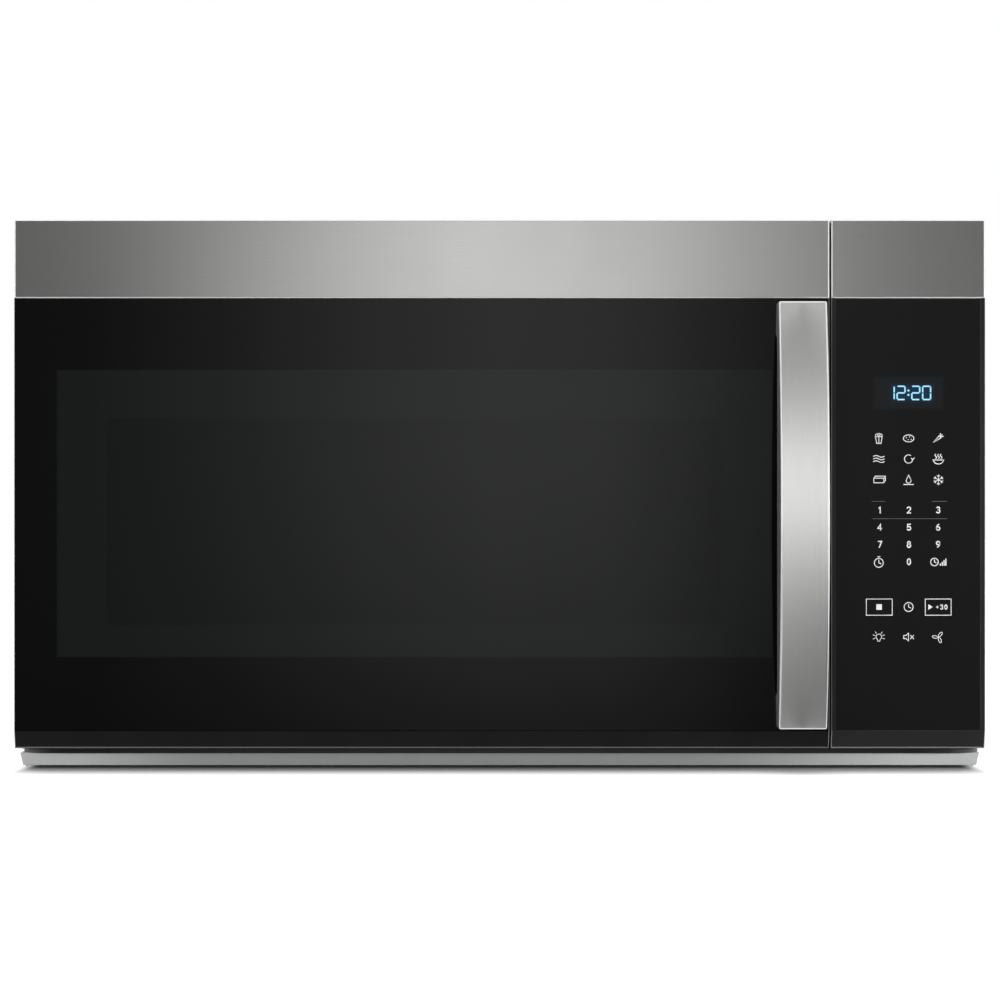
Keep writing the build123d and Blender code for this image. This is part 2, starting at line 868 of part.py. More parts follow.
def cooling_fan():
    """Five pitched blades on a hub, with the shaft that runs back into the motor."""
    hub_rear = -shroud_rear - fan_tip_gap
    hub = rod((fan_x, hub_rear, fan_centre_height), (0, -1, 0), fan_hub_radius, fan_hub_length)
    blade_length = fan_radius - fan_hub_radius / 2
    middle = Pos(fan_x, hub_rear - fan_hub_length / 2, fan_centre_height)
    for index in range(fan_blade_count):
        turn = Rot(0, index * 360 / fan_blade_count, 0)
        blade = Box(fan_blade_thickness, fan_hub_length * 0.9, blade_length)
        pitched = Rot(0, 0, fan_blade_pitch) * blade
        hub += middle * turn * Pos(0, 0, fan_hub_radius / 2 + blade_length / 2) * pitched
    tip = rod(
        (fan_x, hub_rear + fan_hub_length, fan_centre_height), (0, -1, 0), fan_radius, 3 * fan_hub_length
    )
    shaft = rod((fan_x, hub_rear, fan_centre_height), (0, 1, 0), fan_shaft_radius,
                fan_tip_gap + fan_strap_thickness + fan_motor_depth / 4)
    return (hub & tip) + shaft


def blower_scroll(x_low, x_high, wall):
    """Scroll outline with its upward outlet, drawn in by a wall."""
    radius = scroll_radius - wall
    scroll = rod((x_low, scroll_y, scroll_height), (1, 0, 0), radius, x_high - x_low)
    return scroll + block(
        x_low, x_high, duct_y - duct_depth / 2 + wall, duct_y + duct_depth / 2 - wall, scroll_height, roof_under
    )


def blower_housing():
    """Two scrolls under the duct outlet, joined by the tray that carries the motor."""
    housing = block(
        -scroll_inset - 1, scroll_inset + 1, scroll_y - scroll_radius / 2, scroll_y + scroll_radius / 2,
        cavity_roof + blower_floor_gap, cavity_roof + blower_floor_gap + blower_sheet,
    )
    housing += block(
        -scroll_inset - 1, scroll_inset + 1, duct_y - duct_depth / 2, duct_y + duct_depth / 2,
        roof_under - blower_sheet, roof_under,
    )
    for x_low in (-scroll_inset - scroll_width, scroll_inset):
        x_high = x_low + scroll_width
        shell = blower_scroll(x_low, x_high, 0)
        shell -= blower_scroll(x_low + blower_sheet, x_high - blower_sheet, blower_sheet)
        shell -= block(
            x_low + blower_sheet, x_high - blower_sheet, duct_y - duct_depth / 2 + blower_sheet,
            duct_y + duct_depth / 2 - blower_sheet, roof_under - 1, roof_under + 1,
        )
        housing += shell
        housing -= rod(
            (x_low - 1, scroll_y, scroll_height), (1, 0, 0), scroll_inlet_radius, scroll_width + 2
        )
    return housing


def blower_motor():
    """Motor between the scrolls, standing on the housing's tray."""
    half = blower_motor_length / 2
    body = rod((-half, scroll_y, scroll_height), (1, 0, 0), blower_motor_radius, blower_motor_length)
    body += block(
        -half + blower_foot_inset, half - blower_foot_inset,
        scroll_y - blower_motor_radius / 2, scroll_y + blower_motor_radius / 2,
        cavity_roof + blower_floor_gap + blower_sheet, scroll_height,
    )
    bore = blower_shaft_radius + blower_shaft_clearance
    return body - rod((-half - 1, scroll_y, scroll_height), (1, 0, 0), bore, blower_motor_length + 2)


def blower_wheels():
    """Two squirrel-cage wheels on one shaft."""
    shaft_half = scroll_inset + scroll_width - wheel_side_gap
    rotor = rod((-shaft_half, scroll_y, scroll_height), (1, 0, 0), blower_shaft_radius, 2 * shaft_half)
    wheel_length = scroll_width - 2 * wheel_side_gap
    blade_ring = wheel_radius - wheel_blade_length / 2 - wheel_blade_thickness
    for side in (-1, 1):
        near = side * (scroll_inset + wheel_side_gap)
        far = side * (scroll_inset + wheel_side_gap + wheel_length)
        along = (side, 0, 0)
        rotor += rod((near, scroll_y, scroll_height), along, wheel_radius, wheel_plate)
        ring_start = (far, scroll_y, scroll_height)
        end_ring = rod(ring_start, (-side, 0, 0), wheel_radius, wheel_plate)
        end_ring -= rod(ring_start, (-side, 0, 0), wheel_radius - wheel_blade_length, wheel_plate)
        rotor += end_ring
        for index in range(wheel_blade_count):
            angle = index * 360 / wheel_blade_count
            blade = Box(wheel_length, wheel_blade_thickness, wheel_blade_length)
            spot = Pos((near + far) / 2, scroll_y, scroll_height) * Rot(angle, 0, 0)
            rotor += spot * Pos(0, 0, blade_ring) * Rot(wheel_blade_tilt, 0, 0) * blade
    return rotor


def turntable_motor():
    """Flat synchronous motor under the oven floor, with the bore for the drive shaft."""
    top = cavity_floor - cavity_sheet
    body = rod((cavity_x, tray_y, top), (0, 0, -1), turntable_motor_radius, turntable_motor_height)
    ear_half = turntable_motor_radius * motor_ear_share
    ear = block(
        cavity_x - ear_half, cavity_x + ear_half,
        tray_y - motor_ear_width / 2, tray_y + motor_ear_width / 2, top - motor_ear_thickness, top,
    )
    bore_radius = drive_shaft_radius + drive_shaft_clearance
    return body + ear - rod((cavity_x, tray_y, top + 1), (0, 0, -1), bore_radius, drive_shaft_depth + 3)


def turntable_coupler():
    """Three-armed hub under the tray, on its drive shaft."""
    hub_bottom = cavity_floor + coupler_lift
    hub_height = tray_underside - hub_bottom
    hub = rod((cavity_x, tray_y, hub_bottom), (0, 0, 1), coupler_radius, hub_height)
    for index in range(3):
        arm = Pos(coupler_arm_length / 2, 0, 0) * Box(coupler_arm_length, coupler_arm_width, hub_height / 3)
        hub += Pos(cavity_x, tray_y, tray_underside - hub_height / 6) * Rot(0, 0, 120 * index) * arm
    shaft_length = coupler_lift + cavity_sheet + drive_shaft_depth
    return hub + rod((cavity_x, tray_y, hub_bottom), (0, 0, -1), drive_shaft_radius, shaft_length)


def turntable_tray():
    """Round glass tray with a raised rim."""
    radius = tray_diameter / 2
    top = tray_underside + tray_thickness
    rim_top = tray_underside + tray_rim_height
    with BuildSketch(Plane.XZ) as half_section:
        with BuildLine():
            Polyline(
                (0, tray_underside), (radius - tray_rim_width, tray_underside),
                (radius, rim_top - tray_thickness / 2), (radius, rim_top),
                (radius - tray_thickness / 2, rim_top), (radius - tray_rim_width - 2, top),
                (0, top), close=True,
            )
        make_face()
    return Pos(cavity_x, tray_y, 0) * revolve(half_section.sketch, Axis.Z)


def axle_direction(index):
    """Outward direction of a roller's axle."""
    angle = radians(90 + index * 360 / roller_count)
    return Vector(cos(angle), sin(angle), 0)


def roller_ring():
    """Ring that keeps the rollers apart, with an axle and end cap for each."""
    outer = roller_track_radius - roller_width / 2 - ring_gap
    bottom = wheel_centre_height - ring_height / 2
    ring = rod((cavity_x, tray_y, bottom), (0, 0, 1), outer, ring_height)
    ring -= rod((cavity_x, tray_y, bottom - 1), (0, 0, 1), outer - ring_width, ring_height + 2)
    centre = Vector(cavity_x, tray_y, wheel_centre_height)
    for index in range(roller_count):
        outward = axle_direction(index)
        start = centre + outward * (outer - ring_width / 2)
        cap_start = roller_track_radius + roller_width / 2 + ring_gap
        ring += rod(start, outward, roller_axle_radius, cap_start - outer + ring_width / 2)
        ring += rod(centre + outward * cap_start, outward, axle_cap_radius, axle_cap_length)
    return ring


def roller(index):
    """Turntable roller on its axle."""
    outward = axle_direction(index)
    start = Vector(cavity_x, tray_y, wheel_centre_height) + outward * (roller_track_radius - roller_width / 2)
    wheel = rod(start, outward, roller_radius, roller_width)
    bore_radius = roller_axle_radius + roller_bore_clearance
    return wheel - rod(start - outward, outward, bore_radius, roller_width + 2)


def cavity_lamp():
    """Socket and bulb outside the oven's right wall, behind the lamp holes."""
    half = lamp_socket / 2
    x_high = bay_left + 2 * lamp_bulb_radius + lamp_socket_depth
    socket = block(x_high - lamp_socket_depth, x_high, -lamp_rear - half, -lamp_rear + half,
                   lamp_height - half, lamp_height + half)
    bracket = block(bay_left, x_high, -lamp_rear - half, -lamp_rear + half,
                    lamp_height + half, lamp_height + half + lamp_bracket_thickness)
    bulb_x = bay_left + lamp_bulb_gap + lamp_bulb_radius
    bulb = Pos(bulb_x, -lamp_rear, lamp_height) * Sphere(lamp_bulb_radius)
    bulb_neck = rod((x_high - lamp_socket_depth, -lamp_rear, lamp_height), (-1, 0, 0), lamp_bulb_radius / 2,
                    lamp_bulb_radius)
    return socket + bracket + bulb + bulb_neck


def cooktop_lamp_lens():
    """Clear cover in the base, over the cooktop lamp."""
    lens_y = front + cooktop_lens_setback
    half = cooktop_lens_width / 2
    plug = block(-half, half, lens_y, lens_y + cooktop_lens_depth, 0, base_sheet)
    return plug + block(
        -half - cooktop_lens_lip, half + cooktop_lens_lip, lens_y - cooktop_lens_lip,
        lens_y + cooktop_lens_depth + cooktop_lens_lip, base_sheet, base_sheet + cooktop_lens_thickness,
    )


def cooktop_lamp():
    """Tubular bulb in a socket that hangs from the inner floor."""
    y = front + cooktop_lens_setback + cooktop_lens_depth / 2
    z = plenum_height - 2 * cooktop_bulb_radius
    x_low = -(cooktop_bulb_length + cooktop_socket_length) / 2
    socket_end = x_low + cooktop_socket_length
    half = cooktop_socket_width / 2
    socket = block(x_low, socket_end, y - half, y + half, z - cooktop_bulb_radius, plenum_height)
    bulb = rod((socket_end, y, z), (1, 0, 0), cooktop_bulb_radius, cooktop_bulb_length)
    return socket + bulb


def grease_filter(side):
    """Framed filter panel on its ledges over an opening in the base, with a pull tab."""
    centre = side * filter_spacing / 2
    y_high = -filter_rear - filter_slide
    y_low = y_high - filter_depth
    z_low = base_sheet + filter_seat_gap
    half = filter_width / 2
    panel = block(centre - half, centre + half, y_low, y_high, z_low, z_low + filter_thickness)
    for z in (z_low, z_low + filter_thickness - filter_recess):
        panel -= block(
            centre - half + filter_frame, centre + half - filter_frame,
            y_low + filter_frame, y_high - filter_frame, z, z + filter_recess,
        )
    tab_y = y_low + filter_front_ledge + 1
    tab = block(
        centre - filter_tab_width / 2, centre + filter_tab_width / 2,
        tab_y, tab_y + filter_tab_depth, base_sheet / 2, z_low + filter_recess + 1,
    )
    return panel + tab


def cord_grommet():
    """Flanged grommet of the cord inlet in the roof."""
    start = (right - grommet_right_inset, -grommet_rear, roof_under - grommet_flange)
    body = rod(start, (0, 0, 1), grommet_radius, grommet_flange + wrap_sheet + grommet_flange_height)
    upper_flange = rod(
        (right - grommet_right_inset, -grommet_rear, roof_top), (0, 0, 1),
        grommet_radius + grommet_flange, grommet_flange_height,
    )
    lower_flange = rod(start, (0, 0, 1), grommet_radius + grommet_flange, grommet_flange)
    bore = rod(start, (0, 0, 1), grommet_bore, 3 * grommet_radius)
    return body + upper_flange + lower_flange - bore


def front_body(x_low, x_high, y_rear):
    """Plastic body behind glass and trim, with the sloping lower band."""
    outline = [
        (y_rear, door_bottom),
        (front + lower_band_slope + lower_edge_bevel, door_bottom),
        (front + lower_band_slope, door_bottom + lower_edge_bevel),
        (front, glass_bottom),
        (front, door_top),
        (y_rear, door_top),
    ]
    body = run_along_x(outline, x_low, x_high)
    end_edges = []
    for edge in body.edges():
        spot = edge.center()
        at_an_end = min(abs(spot.X - x_low), abs(spot.X - x_high)) < body_edge_radius
        if at_an_end and spot.Y < front + lower_band_slope:
            end_edges.append(edge)
    return fillet(end_edges, body_edge_radius) - trim_shell(x_low, x_high)


def trim_shell(x_low, x_high):
    """Folded steel band with returns on all four sides, before its edges are rounded."""
    y_high = front + trim_return
    shell = block(x_low, x_high, front, y_high, glass_top, door_top)
    return shell - block(
        x_low + trim_sheet, x_high - trim_sheet, front + trim_sheet, y_high + 1,
        glass_top + trim_sheet, door_top - trim_sheet,
    )


def rounded_trim(x_low, x_high):
    """Steel band with rounded front edges."""
    shell = trim_shell(x_low, x_high)
    rim = shell.faces().sort_by(Axis.Y)[0].outer_wire().edges()
    return fillet(rim, trim_edge_share * trim_sheet)


def door_frame():
    """Plastic door body: glass seat, window, rear pocket, latch channel, hinge bores."""
    body = front_body(left, door_right, body_rear)
    rear_left = body.edges().filter_by(Axis.Z).sort_by(Axis.X)
    rear_left = [edge for edge in rear_left if edge.center().X < left + 1]
    rear_left = [edge for edge in rear_left if edge.center().Y > body_rear - 1]
    body = chamfer(rear_left, door_rear_chamfer)
    body -= block(
        left + glass_side_lip, door_right - glass_side_lip, front - 1, glass_rear, glass_bottom, glass_top
    )
    body -= block(
        pocket_left, pocket_right, glass_rear + door_wall, body_rear + 1, pocket_bottom, pocket_top
    )
    hole_half_width = window_width / 2 + door_wall
    hole_half_height = window_height / 2 + door_wall
    body -= block(
        window_x - hole_half_width, window_x + hole_half_width, front, body_rear,
        window_centre_height - hole_half_height, window_centre_height + hole_half_height,
    )
    cells_left = left + hinge_notch_width + hinge_inset_x
    cell_pitch = (door_right - 2 * latch_inset - cells_left) / door_cell_count
    for index in range(door_cell_count):
        x_low = cells_left + index * cell_pitch
        body -= block(
            x_low + door_wall, x_low + cell_pitch, glass_rear + door_wall, body_rear + 1,
            pocket_top + 2 * door_wall, door_top - 2 * door_wall,
        )
    body -= block(
        latch_x - latch_thickness / 2 - latch_clearance, latch_x + latch_thickness / 2 + latch_clearance,
        glass_rear + 2 * door_wall, body_rear + 1,
        latch_plate_bottom - door_wall, latch_plate_bottom + latch_plate_height + spring_length,
    )
    body -= block(
        left - 1, hinge_x + hinge_notch_width - hinge_inset_x, hinge_y - hinge_notch_reach, body_rear + 1,
        upper_leaf - hinge_leaf - hinge_notch_clearance,
        upper_leaf + hinge_pin_head_height + hinge_notch_clearance,
    )
    bore = hinge_pin_radius + hinge_bore_clearance
    body -= rod((hinge_x, hinge_y, door_bottom - 1), (0, 0, 1), bore, hinge_pin_length + 2)
    body -= rod((hinge_x, hinge_y, upper_leaf), (0, 0, -1), bore, hinge_leaf + hinge_pin_length + 1)
    for height in handle_screw_heights:
        bore_radius = handle_screw_radius + screw_clearance
        body -= rod((handle_x, front - 1, height), (0, 1, 0), bore_radius, door_thickness)
        body -= rod(
            (handle_x, glass_rear + door_wall, height), (0, 1, 0), handle_screw_head_radius + 1, door_thickness
        )
    return body


def bevel_front(pane):
    """Pane with the edges of its front face ground off."""
    rim = pane.faces().sort_by(Axis.Y)[0].outer_wire().edges()
    return chamfer(rim, glass_edge_bevel)


def door_glass():
    """Black front glass, bored for the handle's screws."""
    pane = block(
        left + glass_side_lip, door_right - glass_side_lip, front, glass_rear, glass_bottom, glass_top
    )
    pane = bevel_front(pane)
    for height in handle_screw_heights:
        bore_radius = handle_screw_radius + screw_clearance
        pane -= rod((handle_x, front - 1, height), (0, 1, 0), bore_radius, glass_thickness + 2)
    return pane


def window_prism(y_front, y_back, grow):
    """Funnel that narrows from the window's outline to the screen's, grown sideways."""
    sections = []
    for y, width, height, middle in (
        (y_front, window_width, window_height, window_centre_height),
        (y_back, screen_width, screen_height, screen_centre_height),
    ):
        plane = Plane(origin=(window_x, y, middle), x_dir=(1, 0, 0), z_dir=(0, -1, 0))
        sections.append(plane * Rectangle(width + 2 * grow, height + 2 * grow))
    return loft(sections, ruled=True)


def door_inner_panel():
    """Steel pressing: funnel to the screen, rear plate and the choke channel round it."""
    plate_rear = body_rear - inner_glass_thickness - screen_sheet
    plate_front = plate_rear - panel_sheet
    channel_front = door_rear - choke_depth
    outer = block(
        cavity_left - choke_width, cavity_right + choke_width, channel_front, body_rear,
        cavity_floor - choke_width, cavity_ceiling + choke_width,
    )
    outer -= block(cavity_left, cavity_right, channel_front - 1, body_rear + 1, cavity_floor, cavity_ceiling)
    channel_room = block(
        cavity_left - choke_width + panel_sheet, cavity_right + choke_width - panel_sheet,
        channel_front + panel_sheet, body_rear + 1,
        cavity_floor - choke_width + panel_sheet, cavity_ceiling + choke_width - panel_sheet,
    )
    channel_room -= block(
        cavity_left - panel_sheet, cavity_right + panel_sheet, channel_front, body_rear + 1,
        cavity_floor - panel_sheet, cavity_ceiling + panel_sheet,
    )
    channel = outer - channel_room
    plate = block(cavity_left - panel_sheet / 2, cavity_right + panel_sheet / 2, plate_front, plate_rear,
                  cavity_floor - panel_sheet / 2, cavity_ceiling + panel_sheet / 2)
    funnel_front = glass_rear + funnel_front_gap
    funnel = window_prism(funnel_front, plate_front, panel_sheet)
    hollow = window_prism(funnel_front, plate_front, 0)
    plate -= block(
        window_x - screen_width / 2, window_x + screen_width / 2, plate_front - 1, plate_rear + 1,
        screen_centre_height - screen_height / 2, screen_centre_height + screen_height / 2,
    )
    return channel + plate + (funnel - hollow)


def window_screen():
    """Perforated sheet behind the inner panel's window."""
    y_high = body_rear - inner_glass_thickness
    half_width = screen_width / 2 + screen_lap
    half_height = screen_height / 2 + screen_lap
    return block(
        window_x - half_width, window_x + half_width, y_high - screen_sheet, y_high,
        screen_centre_height - half_height, screen_centre_height + half_height,
    )


def door_inner_glass():
    """Inner pane, behind the choke cover's opening."""
    return block(
        cavity_left + inner_glass_margin, cavity_right - inner_glass_margin,
        body_rear - inner_glass_thickness, body_rear,
        cavity_floor + inner_glass_margin, cavity_ceiling - inner_glass_margin,
    )


def choke_cover():
    """Plastic ring over the choke channel and the latch channel, with the hooks' slots."""
    grow = choke_width - 2 * door_wall
    lap = inner_glass_margin + choke_cover_lap
    cover = block(
        cavity_left - grow - door_wall, door_right - door_wall, body_rear, door_rear,
        pocket_bottom, pocket_top,
    )
    cover -= block(
        cavity_left + lap, cavity_right - lap, body_rear - 1, door_rear + 1,
        cavity_floor + lap, cavity_ceiling - lap,
    )
    cover = fillet(cover.edges().filter_by(Axis.Y).group_by(Axis.X)[-1], 2 * door_wall)
    for low, high in hook_spans():
        cover -= block(
            latch_x - latch_thickness / 2 - latch_clearance, latch_x + latch_thickness / 2 + latch_clearance,
            body_rear - 1, door_rear + 1, low - hook_barb - 1, high + latch_travel + 1,
        )
    return cover


def latch_head():
    """Flat sliding plate in the door with two hooks that reach into the latch body."""
    y_low = body_rear - latch_plate_depth
    half = latch_thickness / 2
    plate = block(
        latch_x - half, latch_x + half, y_low, body_rear - latch_clearance,
        latch_plate_bottom, latch_plate_bottom + latch_plate_height,
    )
    tip_y = frame_face + hook_reach
    for low, high in hook_spans():
        plate += block(latch_x - half, latch_x + half, body_rear - 2 * latch_clearance, tip_y, low, high)
        plate += block(latch_x - half, latch_x + half, tip_y - hook_barb, tip_y, low - hook_barb, low + 1)
    return plate


def latch_spring():
    """Coil spring between the latch head and the top of its channel."""
    base = latch_plate_bottom + latch_plate_height
    coil_height = spring_length - 4 * spring_wire_radius
    path = Helix(pitch=coil_height / spring_turns, height=coil_height, radius=spring_radius)
    section = Plane(origin=path @ 0, z_dir=path % 0) * Circle(spring_wire_radius)
    coil = sweep(section, path=path)
    middle_y = body_rear - latch_plate_depth / 2
    return Pos(latch_x, middle_y, base + 2 * spring_wire_radius) * coil


def switch_box(side, height):
    """Body of a switch that the hooks press: behind a hook, or beside the lower one."""
    tip_y = frame_face + hook_reach + plunger_gap
    if side == "rear":
        return block(
            latch_x - switch_width / 2, latch_x + switch_width / 2,
            tip_y + plunger_stand_out, tip_y + plunger_stand_out + switch_depth,
            height - switch_height / 2, height + switch_height / 2,
        )
    x_high = latch_x - latch_thickness / 2 - plunger_gap - plunger_stand_out
    return block(
        x_high - switch_depth, x_high,
        tip_y - switch_width / 2 - hook_barb, tip_y + switch_width / 2 - hook_barb,
        height - switch_height / 2, height + switch_height / 2,
    )


def plunger_axis(name):
    """Where a switch's plunger starts, beside its hook, and the way that it is pressed."""
    tip_y = frame_face + hook_reach
    lower = lower_hook_height + hook_height / 2
    upper = upper_hook_height + hook_height / 2
    if name == "primary":
        return Vector(latch_x, tip_y + plunger_gap, upper), Vector(0, 1, 0)
    if name == "secondary":
        return Vector(latch_x, tip_y + plunger_gap, lower), Vector(0, 1, 0)
    side_x = latch_x - latch_thickness / 2 - plunger_gap
    return Vector(side_x, tip_y - hook_barb, lower), Vector(-1, 0, 0)


def plunger(name):
    """Round plunger of one switch, sticking out of its body."""
    start, inward = plunger_axis(name)
    return rod(start, inward, plunger_radius, plunger_length)


def interlock_switches():
    """Bodies of the three door switches, bored for their plungers."""
    boxes = []
    for name, side, hook in (
        ("primary", "rear", upper_hook_height),
        ("secondary", "rear", lower_hook_height),
        ("monitor", "side", lower_hook_height),
    ):
        start, inward = plunger_axis(name)
        bore_length = plunger_length + 2 * plunger_stand_out
        bore = rod(start, inward, plunger_radius + plunger_clearance, bore_length)
        boxes.append(switch_box(side, hook + hook_height / 2) - bore)
    return Compound(children=boxes)


def latch_body():
    """Plastic carrier behind the frame, with a catch for each hook and seats for the switches."""
    z_low = lower_hook_height - latch_body_margin
    z_high = upper_hook_height + hook_height + latch_body_margin
    plate_x = latch_x + switch_width / 2
    body = block(
        plate_x, plate_x + latch_body_wall, cavity_front, cavity_front + latch_body_depth, z_low, z_high
    )
    body += block(
        latch_x - switch_depth - 2 * latch_body_wall, plate_x + latch_body_wall, cavity_front,
        cavity_front + latch_body_wall, z_low, z_high,
    )
    for low, high in hook_spans():
        body -= block(
            latch_x - latch_thickness, latch_x + latch_thickness + 1, cavity_front - 1,
            cavity_front + latch_body_wall + 1, low - hook_barb - 2, high + latch_travel + 2,
        )
        catch_top = low - hook_barb - catch_gap
        body += block(
            latch_x - latch_thickness / 2, plate_x + latch_body_wall / 2, cavity_front,
            frame_face + hook_reach - hook_barb, catch_top - 2 * latch_body_wall, catch_top,
        )
    shelf_high = lower_hook_height + hook_height / 2 - switch_height / 2
    body += block(
        latch_x - switch_depth - switch_width / 2, plate_x + latch_body_wall / 2, cavity_front,
        cavity_front + latch_body_depth / 2, shelf_high - latch_body_wall, shelf_high,
    )
    return body


def door_handle():
    """Bowed bar with a foot at each end, flared a little at the back of its middle."""
    sections = []
    section_count = 9
    half = handle_width / 2
    for index in range(section_count):
        share = 2 * index / (section_count - 1) - 1
        bulge = 1 - share * share
        y_face = front - handle_end_reach - (handle_reach - handle_end_reach) * bulge
        y_bend = min(y_face + handle_bar_thickness, front - 1)
        wide = half + handle_flare / 2 * bulge
        z = handle_bottom + index * handle_length / (section_count - 1)
        outline = [
            (-half, y_face), (half, y_face), (wide, y_bend), (wide, front), (-wide, front), (-wide, y_bend),
        ]
        face = make_face(Polyline(*outline, close=True))
        face = fillet(face.vertices().group_by(Axis.Y)[0], handle_edge_radius)
        sections.append(Pos(handle_x, 0, z) * face)
    bar = loft(sections)
    for end in (0, -1):
        end_face = bar.faces().filter_by(Axis.Z).sort_by(Axis.Z)[end]
        end_edges = [edge for edge in end_face.edges() if edge.center().Y < front - handle_end_reach / 2]
        front_edges = sorted(end_edges, key=lambda edge: edge.center().Y)[:3]
        bar = fillet(front_edges, handle_end_radius)
    bow = handle_reach - handle_bar_thickness
    gap_low = handle_bottom + handle_foot_length
    gap_high = handle_bottom + handle_length - handle_foot_length
    middle = (gap_low + gap_high) / 2
    end_depth = front - handle_end_reach * handle_foot_share
    with BuildSketch(Plane.YZ) as gap:
        with BuildLine():
            arc_low = (end_depth, gap_low + handle_foot_taper)
            arc_high = (end_depth, gap_high - handle_foot_taper)
            Line((front + 1, gap_low), arc_low)
            ThreePointArc(arc_low, (front - bow, middle), arc_high)
            Line(arc_high, (front + 1, gap_high))
            Line((front + 1, gap_high), (front + 1, gap_low))
        make_face()
    bar -= extrude(gap.sketch, 2 * abs(handle_x) + handle_width, both=True)
    for height in handle_screw_heights:
        bar -= rod((handle_x, front + 1, height), (0, -1, 0), handle_screw_radius + screw_clearance,
                   handle_screw_length - glass_thickness - door_wall + 2)
    return bar


def handle_screws():
    """The two screws that hold the handle, from behind the door frame's front wall."""
    seat = glass_rear + door_wall
    screws = []
    for height in handle_screw_heights:
        head = rod((handle_x, seat, height), (0, 1, 0), handle_screw_head_radius, handle_screw_head_height)
        shank = rod((handle_x, seat, height), (0, -1, 0), handle_screw_radius, handle_screw_length)
        screws.append(head + shank)
    return Compound(children=screws)


def hinge_bracket(leaf_top, tab_up):
    """Folded bracket: a leaf that holds the pin and a tab on the front frame."""
    y_low = hinge_y - hinge_leaf_front
    leaf = block(
        hinge_x - hinge_leaf_left, hinge_x + hinge_leaf_right, y_low, frame_face, leaf_top - hinge_leaf, leaf_top
    )
    leaf = fillet(leaf.edges().filter_by(Axis.Z).group_by(Axis.Y)[0], hinge_leaf_front * 0.9)
    z_low = leaf_top - hinge_leaf if tab_up else leaf_top - hinge_tab_height
    tab = block(
        hinge_x - hinge_leaf_left, hinge_x + hinge_tab_right, frame_face - hinge_tab, frame_face,
        z_low, z_low + hinge_tab_height,
    )
    bore_radius = hinge_pin_radius + hinge_bore_clearance
    return leaf + tab - rod((hinge_x, hinge_y, leaf_top + 1), (0, 0, -1), bore_radius, hinge_leaf + 2)


def hinge_pins():
    """Headed pins in the two leaves, pointing at each other into the door's bores."""
    upper = rod(
        (hinge_x, hinge_y, upper_leaf), (0, 0, -1), hinge_pin_radius, hinge_leaf + hinge_pin_length
    )
    upper += rod((hinge_x, hinge_y, upper_leaf), (0, 0, 1), hinge_pin_head_radius, hinge_pin_head_height)
    lower = rod(
        (hinge_x, hinge_y, lower_leaf), (0, 0, 1), hinge_pin_radius, hinge_leaf + hinge_pin_length
    )
    lower += rod((hinge_x, hinge_y, lower_leaf), (0, 0, -1), hinge_pin_head_radius, hinge_pin_head_height)
    return Compound(children=[upper, lower])


def control_panel_frame():
    """Plastic body of the control panel: glass seat, front wall, open back."""
    body = front_body(panel_left, right, frame_face)
    body -= block(
        panel_left + panel_glass_left_lip, right - panel_glass_right_lip,
        front - 1, glass_rear, glass_bottom, glass_top,
    )
    body -= block(
        panel_left + door_wall, right - door_wall, glass_rear + panel_wall, frame_face + 1,
        door_bottom + door_wall, glass_top - door_wall,
    )
    body -= block(
        panel_left + door_wall, right - door_wall, front + trim_return + panel_wall, frame_face + 1,
        glass_top, door_top - door_wall,
    )
    body -= block(
        panel_left + display_left, panel_left + display_left + display_width,
        front, glass_rear + panel_wall + 1, display_top - display_height, display_top,
    )
    x_low = panel_left + board_margin
    x_high = right - board_margin
    for x in (x_low, x_high):
        for z in (board_bottom + board_margin, board_bottom + board_height - board_margin):
            body += rod((x, glass_rear, z), (0, 1, 0), board_post_radius, board_setback - glass_thickness)
    return body


def control_panel_glass():
    """Black touch glass with printed keys."""
    pane = block(
        panel_left + panel_glass_left_lip, right - panel_glass_right_lip, front, glass_rear,
        glass_bottom, glass_top,
    )
    return bevel_front(pane)


def display_module():
    """Clock display in the panel's front wall, against the glass."""
    return block(
        panel_left + display_left, panel_left + display_left + display_width,
        glass_rear, glass_rear + display_depth, display_top - display_height, display_top,
    )


def control_board():
    """Circuit board on the panel's posts, with relays and a connector on its back."""
    y_low = front + board_setback
    y_high = y_low + board_thickness
    x_low = panel_left + 2 * door_wall
    x_high = right - 2 * door_wall
    board = block(x_low, x_high, y_low, y_high, board_bottom, board_bottom + board_height)
    relay_x = x_low + relay_inset
    for index in range(relay_count):
        z = board_bottom + 2 * board_margin + index * relay_pitch
        board += block(relay_x, relay_x + relay_width, y_high, y_high + relay_depth, z, z + relay_height)
    connector_x = x_high - connector_inset
    connector_z = board_bottom + board_height - 4 * board_margin
    return board + block(
        connector_x - connector_width, connector_x, y_high, y_high + connector_depth,
        connector_z - connector_height, connector_z,
    )


def cabinet_screws():
    """Screws through the wrap into the frame, base and rear flanges."""
    return Compound(children=[screw(start, direction) for start, direction in cabinet_screw_places()])


